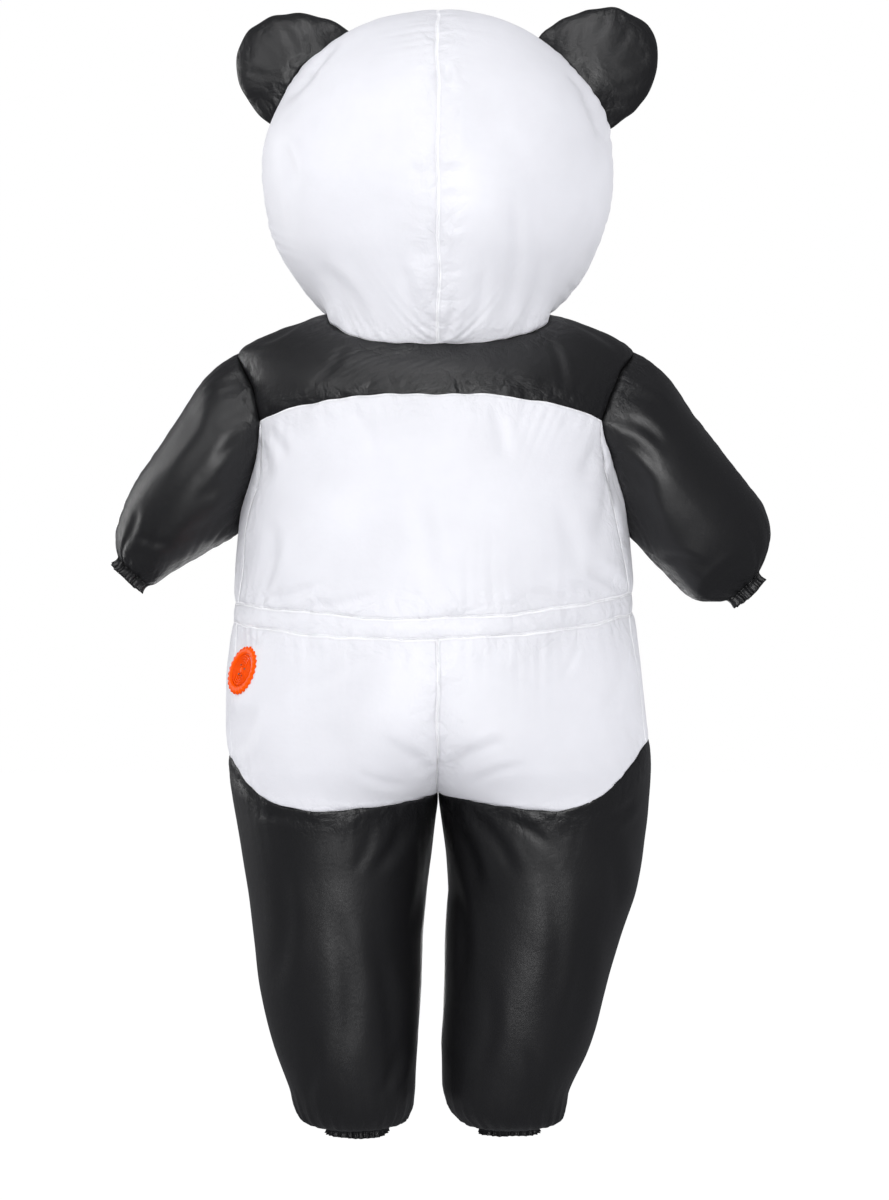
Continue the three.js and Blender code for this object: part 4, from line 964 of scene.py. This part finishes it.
def make_band():
    front = lerp(-QUARTER, SIDE_SEAM, steps(BAND_FRONT_CELLS))
    back = lerp(SIDE_SEAM, math.pi - SIDE_SEAM, steps(BAND_BACK_CELLS))
    angle = np.concatenate([front[:-1], back[:-1], (math.pi - front)[::-1]])
    height = waist_height(angle)
    left = np.cos(angle) >= 0
    own = np.where(left, angle, math.pi - angle)
    low_edge = height - BAND_HALF
    low = np.where(left[:, None], trousers(1, own, low_edge), trousers(-1, own, low_edge))
    top = torso(angle, height + BAND_HALF)
    grid = lerp(low[:, None], top[:, None], steps(BAND_ROWS)[None, :, None])
    panel("waist_band", "waist_band", grid, inside("band"), fullness=3.4)


def make_hips(side):
    for way, (piece, count) in HIP_CELLS.items():
        across = (steps(count) ** 1.3)[:, None]
        up = steps(HIP_ROWS)[None, :]
        top_angle = lerp(SIDE_SEAM, way * QUARTER, across)
        low_angle = lerp(SIDE_SEAM, way * math.pi, across)
        top = waist_height(on_side(side, top_angle)) - BAND_HALF
        height = lerp(leg_seam_height(side, low_angle), top, up)
        middle_height = lerp(CROTCH, waist_height(QUARTER) - BAND_HALF, up)
        angle = lerp(SIDE_SEAM, way * middle_angle(middle_height), across)
        grid = trousers(side, angle, height)
        panel(f"{piece}_{SIDE_NAMES[side]}", "hips", grid, inside("hips", side), way + 3 * side)


def gathers(around, kind, side=0):
    """Folds of an elastic edge: uneven waves round a ring, from -1 to 1."""
    count, _, seed = FOLDS[kind]
    rng = np.random.default_rng(seed + side)
    wander = 0.5 * np.sin(3 * around + rng.uniform(0, 6)) + 0.3 * np.sin(7 * around + rng.uniform(0, 6))
    return 0.7 * np.sin(count * around + 2 * wander) + 0.3 * np.sin((count * 2 - 3) * around + wander)


def make_leg(side):
    name = SIDE_NAMES[side]
    angle = np.concatenate([lerp(SIDE_SEAM, math.pi, steps(LEG_BACK_CELLS)),
                            lerp(-math.pi, SIDE_SEAM, steps(LEG_FRONT_CELLS))[1:]])[:, None]
    hem_rows = np.broadcast_to(np.array(HEM_ROWS, float), (len(angle), len(HEM_ROWS)))
    leg_rows = lerp(float(HEM_ROWS[-1]), leg_seam_height(side, angle), steps(LEG_ROWS)[None, 1:])
    height = np.concatenate([hem_rows, leg_rows], axis=1)
    grid = trousers(side, np.broadcast_to(angle, height.shape), height)
    middle = trousers(side, np.array([0.0, math.pi]), np.array([HEM, HEM])).mean(axis=0)
    out = outward(grid, middle, np.array([0.0, 0, 1]))
    folds = gathers(angle, "leg", side)
    above = height - HEM
    fading = np.exp(-above / 30) * (1 - np.exp(-(above + 3) / 8))
    grid = grid + out * (FOLDS["leg"][1] * folds * fading)[..., None]
    panel(f"leg_{name}", "leg", grid, inside("leg", side), side, closed=True, fullness=2.5)

    flare = np.array(ANKLE_CUFF["flare"]) + ANKLE_CUFF_FOLD * folds
    cuff = grid[:, :1] + out[:, :1] * flare[..., None]
    cuff[..., 2] = HEM - np.array(ANKLE_CUFF["run"])
    panel(f"ankle_cuff_{name}", "ankle_cuff", cuff, middle, closed=True, fullness=0.2)


def make_sleeve(side):
    name = SIDE_NAMES[side]
    _, top_x, top_z, low_x, low_z, _ = SLEEVES[side][-1]
    top, low = np.array([side * top_x, 0.0, top_z]), np.array([side * low_x, 0.0, low_z])
    wrist = (top + low) / 2
    half = (top - low) / 2
    along = unit(np.array([side * abs(half[2]), 0, -abs(half[0])]))
    _, top_x, top_z, low_x, low_z, _ = SLEEVES[side][3]
    core = (side * (top_x + low_x) / 2, 0, (top_z + low_z) / 2)
    rings = []
    for way, face in FACE_NAMES.items():
        turn = way * np.maximum(math.pi * steps(SLEEVE_CELLS), 1e-9)[:, None]
        run = steps(SLEEVE_ROWS)[None, :] ** 0.85
        grid = sleeve(side, turn + 0 * run, run + 0 * turn)
        folds = gathers(np.abs(turn), "sleeve", side) * np.exp(-(1 - run) * 9)
        grid = grid + outward(grid, wrist, along) * (FOLDS["sleeve"][1] * folds)[..., None]
        rings.append(grid[:, -1] if way > 0 else grid[::-1, -1][1:])
        panel(f"sleeve_{face}_{name}", "sleeve", grid, core, way + 3 * side, fullness=2.5)

    ring = np.concatenate(rings)
    run, flare = np.array(WRIST_CUFF["run"], float), np.array(WRIST_CUFF["flare"])
    folds = gathers(np.linspace(0, TURN, len(ring)), "wrist_cuff") * FOLDS["wrist_cuff"][1]
    flare = flare + folds[:, None] * (run / run[-1])
    cuff = ring[:, None] + along * run[:, None] + outward(ring, wrist, along)[:, None] * flare[..., None]
    cuff[-1] = cuff[0]
    panel(f"wrist_cuff_{name}", "wrist_cuff", cuff, wrist + along * 10, closed=True,
          fullness=0.2)


# Head: four gores that meet at the crown, then the ears and what is sewn on the face
def gore_polar(row, ear, end):
    """Polar angle on a row from 0 to 3: the crown, past the ear, and the cheek."""
    crown = ear["high"] * row
    beside = lerp(ear["high"], ear["low"], row - 1)
    cheek = lerp(ear["low"], end, row - 2)
    return np.where(row <= 1, crown, np.where(row <= 2, beside, cheek))


def ear_opening(ear, polar):
    place = (polar - ear["high"]) / (ear["low"] - ear["high"])
    return EAR_BOW * np.sin(math.pi * np.clip(place, 0, 1))


def make_gore(side, way):
    ear = EARS[side]
    crown, beside, cheek = HEAD_ROWS[way]
    rows = np.concatenate([steps(crown), 1 + steps(beside)[1:], 2 + steps(cheek)[1:]])[None, :]
    neck_angle = way * neck_angles(*HEAD_CELLS[way])[:, None]
    across = neck_angle / (way * QUARTER)
    end = neck_polar(neck_angle)
    polar = lerp(gore_polar(rows, ear, end), gore_polar(rows, MEAN_EAR, end), across)
    start = ear_opening(ear, gore_polar(rows, ear, end))
    own = way * lerp(start, QUARTER, across)
    kind = f"head_{FACE_NAMES[way]}"
    panel(f"{kind}_{SIDE_NAMES[side]}", kind, head(on_side(side, own), polar), inside("head"),
          way + 3 * side)


def ear_rim(side, ear, t):
    def turned(polar):
        place = head(0.0, polar)
        return complex(place[0] - ear["x"], place[2] - ear["z"])

    high, low = turned(ear["high"]), turned(ear["low"])
    full = lambda number: math.atan2(number.imag, number.real) % TURN
    turn = lerp(full(high), full(low) - TURN, t)
    near_high = np.maximum(0, 1 - t / EAR_ROOT) ** 2
    near_low = np.maximum(0, 1 - (1 - t) / EAR_ROOT) ** 2
    radius = ear["radius"] + (abs(high) - ear["radius"]) * near_high + (abs(low) - ear["radius"]) * near_low
    return points(side * (ear["x"] + radius * np.cos(turn)), 0 * t, ear["z"] + radius * np.sin(turn))


def make_ear(side, way):
    ear = EARS[side]
    t, out = np.broadcast_arrays(steps(EAR_CELLS)[:, None], (1 - (1 - steps(EAR_ROWS)) ** 1.7)[None, :])
    polar = lerp(ear["high"], ear["low"], t)
    base = head(on_side(side, way * ear_opening(ear, polar)), polar)
    grid = lerp(base, ear_rim(side, ear, t), out[..., None])
    dome = np.sqrt(np.maximum(0, 1 - out**2))
    swell = way * EAR_BULGE * np.sin(math.pi * t) ** 0.7 * (dome - (1 - out) ** 2)
    grid[..., 1] = base[..., 1] * (1 - out) ** 2 + swell
    panel(f"ear_{FACE_NAMES[way]}_{SIDE_NAMES[side]}", "ear", grid, (side * ear["x"], 0, ear["z"]),
          way + 3 * side, fullness=1.5)


def make_face():
    """The ovals stand off the head's billows, the eyes on their patches, and the nose is padded."""
    for name, look, angle, polar, wide, tall, lean, layer in FACE:
        turn = (TURN * steps(PATCH_CELLS))[:, None]
        inward = steps(PATCH_ROWS)[None, :]
        rim = points(wide * np.cos(turn), tall * np.sin(turn), 0)
        along, rise = rim[..., 0] * (1 - inward), rim[..., 1] * (1 - inward)
        across = along * math.cos(lean) - rise * math.sin(lean)
        up = along * math.sin(lean) + rise * math.cos(lean)
        grid = head(angle + across / (HEAD_FRONT * math.sin(polar)), polar - up / HEAD_BELOW)
        normal = normals_of(grid, inside("head"), True)
        dome = (4.0 if name == "nose" else 1.2) * (1 - (1 - inward) ** 2)
        grid = grid + normal * (6.0 + 2.4 * layer + dome)[..., None]
        off = np.linalg.norm(points(along, rise, 0) - rim, axis=-1)
        beside = lengths(rim[:, 0], 0)[:, None] + 0 * off
        sew_on(name, look, grid, normal, off, beside, PATCH)


# Zip: the tape with two rows of metal teeth, over the whole drop of the front
def front_line(offset, height):
    """A place beside the front middle at each height, on the torso or on the trousers."""
    waist = waist_height(-QUARTER)
    upper = torso(-QUARTER + offset / CHEST_RADIUS + 0 * height, height)
    lower = trousers(1, -middle_angle(height), height) + points(offset, 0 * height, 0)
    return lerp(lower, upper, rising(height, waist - BAND_HALF, 2 * BAND_HALF)[..., None])


def make_zip():
    height = np.linspace(ZIP_TOP, ZIP_END, TAPE_ROWS)
    offsets = np.linspace(-TAPE_HALF, TAPE_HALF, TAPE_CELLS + 1)
    grid = np.stack([front_line(offset, height) for offset in offsets])
    normal = normals_of(grid, inside("zip"), False)
    off = TAPE_HALF - np.abs(offsets)[:, None] + 0 * grid[..., 0]
    down = np.broadcast_to(ZIP_TOP - height, off.shape)
    grid = grid + wobble(grid) * np.exp(-np.abs(offsets) / WANDER_FADE)[:, None, None] + normal * 3.0
    sew_on("zip_tape", "black", grid, normal, off, down, TAPE, closed=False)
    middle = TAPE_CELLS // 2
    make_teeth(grid[middle], normal[middle])


def block(place, across, ahead, out, width, length, low, high):
    """Corners of a small block: half its width and length, and its lower and upper face."""
    return [place + across * u + ahead * v + out * w
            for u in (-width, width) for v in (-length, length) for w in (low, high)]


def add_blocks(name, blocks, look, radius):
    order = ((0, 1, 3, 2), (4, 6, 7, 5), (0, 4, 5, 1), (2, 3, 7, 6), (0, 2, 6, 4), (1, 5, 7, 3))
    faces = [tuple(8 * number + corner for corner in face)
             for number in range(len(blocks)) for face in order]
    piece = add_piece(name, blocks, faces, LOOKS[look])
    soften(piece, radius, 2)
    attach(piece, "suit")


def make_teeth(line, normal):
    """Interlocked teeth along the middle line, one block every few millimetres."""
    run = lengths(line, 0)
    read = lambda values, at: np.array([np.interp(at, run, values[:, k]) for k in range(3)])
    blocks = []
    for number in range(int((run[-1] - TOOTH["spare"]) / TOOTH["pitch"])):
        at = TOOTH["first"] + number * TOOTH["pitch"]
        place, out = read(line, at), read(normal, at)
        ahead = unit(read(line, at + 1) - place)
        across = np.cross(ahead, out)
        shift = TOOTH["shift"] if number % 2 else -TOOTH["shift"]
        blocks.append(block(place + across * shift, across, ahead, out, TOOTH["half_width"],
                            TOOTH["half_length"], TOOTH["low"], TOOTH["high"]))
    add_blocks("zip_teeth", blocks, "metal", 0.25)


def carried(name, radius, body):
    """A metal piece made again from its node's own mesh, with its edges bevelled."""
    source = next(o for o in bpy.data.objects if o.type == "MESH" and o.name.split(".")[0] == name)
    mesh = source.data.copy()
    mesh.transform(source.matrix_world)
    mesh.name = name + "_fine"
    mesh.materials.clear()
    mesh.materials.append(LOOKS["metal"])
    piece = linked(name + "_fine", mesh)
    edit_mesh(mesh, join_flats)
    soften(piece, radius, 3)
    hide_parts(name)
    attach(piece, body)


# Fan: its frame is the hip's own surface at the fan's middle
def fan_frame():
    at = fan_middle()
    around = trousers(1, FAN["angle"] + 0.1, FAN["height"]) - at
    rise = trousers(1, FAN["angle"], FAN["height"] + 20) - at
    out = unit(unit(np.cross(around, rise)) + unit(rise) * FAN["lean"])
    up = unit(rise - out * (rise @ out))
    return at + out * FAN["proud"], np.cross(up, out), up, out


def turned_piece(name, profile, count, scalloped_from=math.inf):
    """A profile of radius and height turned round the fan's axis; the outer places are scalloped."""
    at, across, up, out = fan_frame()
    rows = len(profile)
    places = []
    faces = []
    for i in range(count):
        turn = TURN * i / count
        scallop = FAN["scallop"] * math.cos(FAN["teeth"] * turn)
        after = (i + 1) % count
        for j, (radius, rise) in enumerate(profile):
            reach = radius + (scallop if radius >= scalloped_from else 0)
            places.append(at + reach * (across * math.cos(turn) + up * math.sin(turn)) + out * rise)
            above = (j + 1) % rows
            faces.append((i * rows + j, after * rows + j, after * rows + above, i * rows + above))
    piece = add_piece(name, places, faces, LOOKS["orange"])
    edit_mesh(piece.data, weld, face_out)
    smooth(piece)
    return piece


def rounded(corners, radius, cuts=3):
    """A closed profile with each corner cut to a small round."""
    placed = []
    for i, corner in enumerate(corners):
        before = Vector(corners[i - 1])
        here = Vector(corner)
        after = Vector(corners[(i + 1) % len(corners)])
        one = here + (before - here).normalized() * min(radius, (before - here).length / 2.1)
        two = here + (after - here).normalized() * min(radius, (after - here).length / 2.1)
        for k in range(cuts + 1):
            t = k / cuts
            point = one.lerp(here, t).lerp(here.lerp(two, t), t)
            placed.append((point.x, point.y))
    return placed


def grille_profile(hole):
    """Six concentric ribs, each half a ring thick, on a flat plate."""
    ribs, plate, rib_rise, inner, arc = 6, 2.6, 2.9, 0.8, 8
    pitch = (hole - 1.5) / (ribs + 0.5)
    profile = [(hole - 0.5, 0), (hole - 0.5, 3.2)]
    for rib in range(ribs, 0, -1):
        for step in range(arc + 1):
            lean = math.pi * step / arc
            profile.append((rib * pitch + pitch * 0.36 * math.cos(lean), plate + rib_rise * math.sin(lean)))
    return profile + [(inner, plate), (inner, 0)]


def make_fan():
    radius, hole, thick = FAN["radius"], FAN["hole"], FAN["thick"]
    corners = [(hole, 0), (radius, 0), (radius, thick - 2.6), (radius - 4.5, thick),
               (hole + 3.5, thick), (hole, thick - 2.5)]
    ring = turned_piece("fan_ring_fine", rounded(corners, 1.2), FAN_CELLS["ring"], radius - 6)
    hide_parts("fan_ring")
    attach(ring, "suit")

    grille = turned_piece("fan_grille_fine", grille_profile(hole), FAN_CELLS["grille"])
    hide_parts("fan_grille")
    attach(grille, "suit")

    corners = [(0.4, 0.4), (5.6, 0.4), (5.6, 5.4), (4.4, 6.2), (0.4, 6.2)]
    boss = turned_piece("fan_boss", rounded(corners, 0.8), FAN_CELLS["boss"])
    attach(boss, "suit")

    at, across, up, out = fan_frame()
    blocks = []
    for turn, reach, size in FAN_MARKS:
        middle = at + reach * (across * math.cos(turn) + up * math.sin(turn)) + out * 5.3
        blocks.append(block(middle, across, up, out, size, size * 0.6, -1.6, 0.5))
    add_blocks("fan_marks", blocks, "dark", 0.4)


# Stage: an even white studio, with tall soft boxes at both sides of the black cloth
def turned_to(place, aim):
    return (Vector(aim) - Vector(place)).to_track_quat("-Z", "Y").to_euler()


def make_world():
    """White to the camera, a soft white light on the cloth, and dim in what shines."""
    world = bpy.data.worlds.new("studio")
    bpy.context.scene.world = world
    world.use_nodes = True
    tree = world.node_tree
    path = node(tree, "LightPath").outputs
    white = tree.nodes["Background"]
    feed(tree, white, {"Color": (1, 1, 1, 1), "Strength": 1.0})
    lit = node(tree, "Background", {"Color": rgba(SKY), "Strength": 1.0})
    dim = node(tree, "Background", {"Color": rgba(SKY), "Strength": SKY_FOR_GLOSS})
    unseen = node(tree, "MixShader", {"Fac": path["Is Glossy Ray"], 1: lit.outputs[0], 2: dim.outputs[0]})
    mix = node(tree, "MixShader", {"Fac": path["Is Camera Ray"], 1: unseen.outputs[0],
                                   2: white.outputs[0]})
    feed(tree, tree.nodes["World Output"], {"Surface": mix.outputs[0]})


def make_lights():
    for name, (place, aim_height, size, power, left_out) in LIGHTS.items():
        data = bpy.data.lights.new(name, "AREA")
        data.shape = "RECTANGLE"
        data.size, data.size_y = size
        data.energy = power
        light = linked(name, data)
        light.visible_camera = False
        if left_out:
            setattr(light, left_out, False)
        light.location = place
        light.rotation_euler = turned_to(place, (0, 0, aim_height))


def make_floor():
    """A plain white floor under the wearer's feet, as bright as the photograph's ground."""
    mesh = bpy.data.meshes.new("floor")
    far = FLOOR["far"]
    corners = [(-far, -far), (far, -far), (far, far), (-far, far)]
    mesh.from_pydata([(x, y, -HOLD_HEIGHT * MM) for x, y in corners], [], [(0, 1, 2, 3)])
    material, tree, shader = new_material("floor_white", (0.05, 0.05, 0.05), 0.9)
    feed(tree, shader, {"Specular IOR Level": 0, "Emission Color": (1, 1, 1, 1),
                        "Emission Strength": FLOOR["glow"]})
    mesh.materials.append(material)
    floor = linked("floor", mesh)
    floor.visible_diffuse = False
    floor.visible_glossy = False


def make_camera():
    data = bpy.data.cameras.new("camera")
    data.sensor_fit = "VERTICAL"
    data.sensor_height = 36
    data.sensor_width = 36
    data.lens = CAMERA["lens"]
    camera = linked("camera", data)
    camera.location = (0, CAMERA["away"], CAMERA["height"])
    camera.rotation_euler = turned_to(camera.location, (CAMERA["aim_x"], 0, CAMERA["aim_z"]))
    bpy.context.scene.camera = camera


def set_view():
    view = bpy.context.scene.view_settings
    view.view_transform = "Standard"
    view.look = "None"
    view.exposure = 0
    view.gamma = 1


make_back()
make_band()
for SIDE in SIDE_NAMES:
    make_front(SIDE)
    make_hips(SIDE)
    make_leg(SIDE)
    make_sleeve(SIDE)
for WAY in FACE_NAMES:
    for SIDE in SIDE_NAMES:
        make_gore(SIDE, WAY)
for SIDE in SIDE_NAMES:
    for WAY in FACE_NAMES:
        make_ear(SIDE, WAY)
make_face()
make_zip()
make_fan()
carried("zip_slider", 0.5, "suit")
carried("zip_pull_tab", 0.6, "pull_tab")
make_world()
make_lights()
make_floor()
make_camera()
set_view()
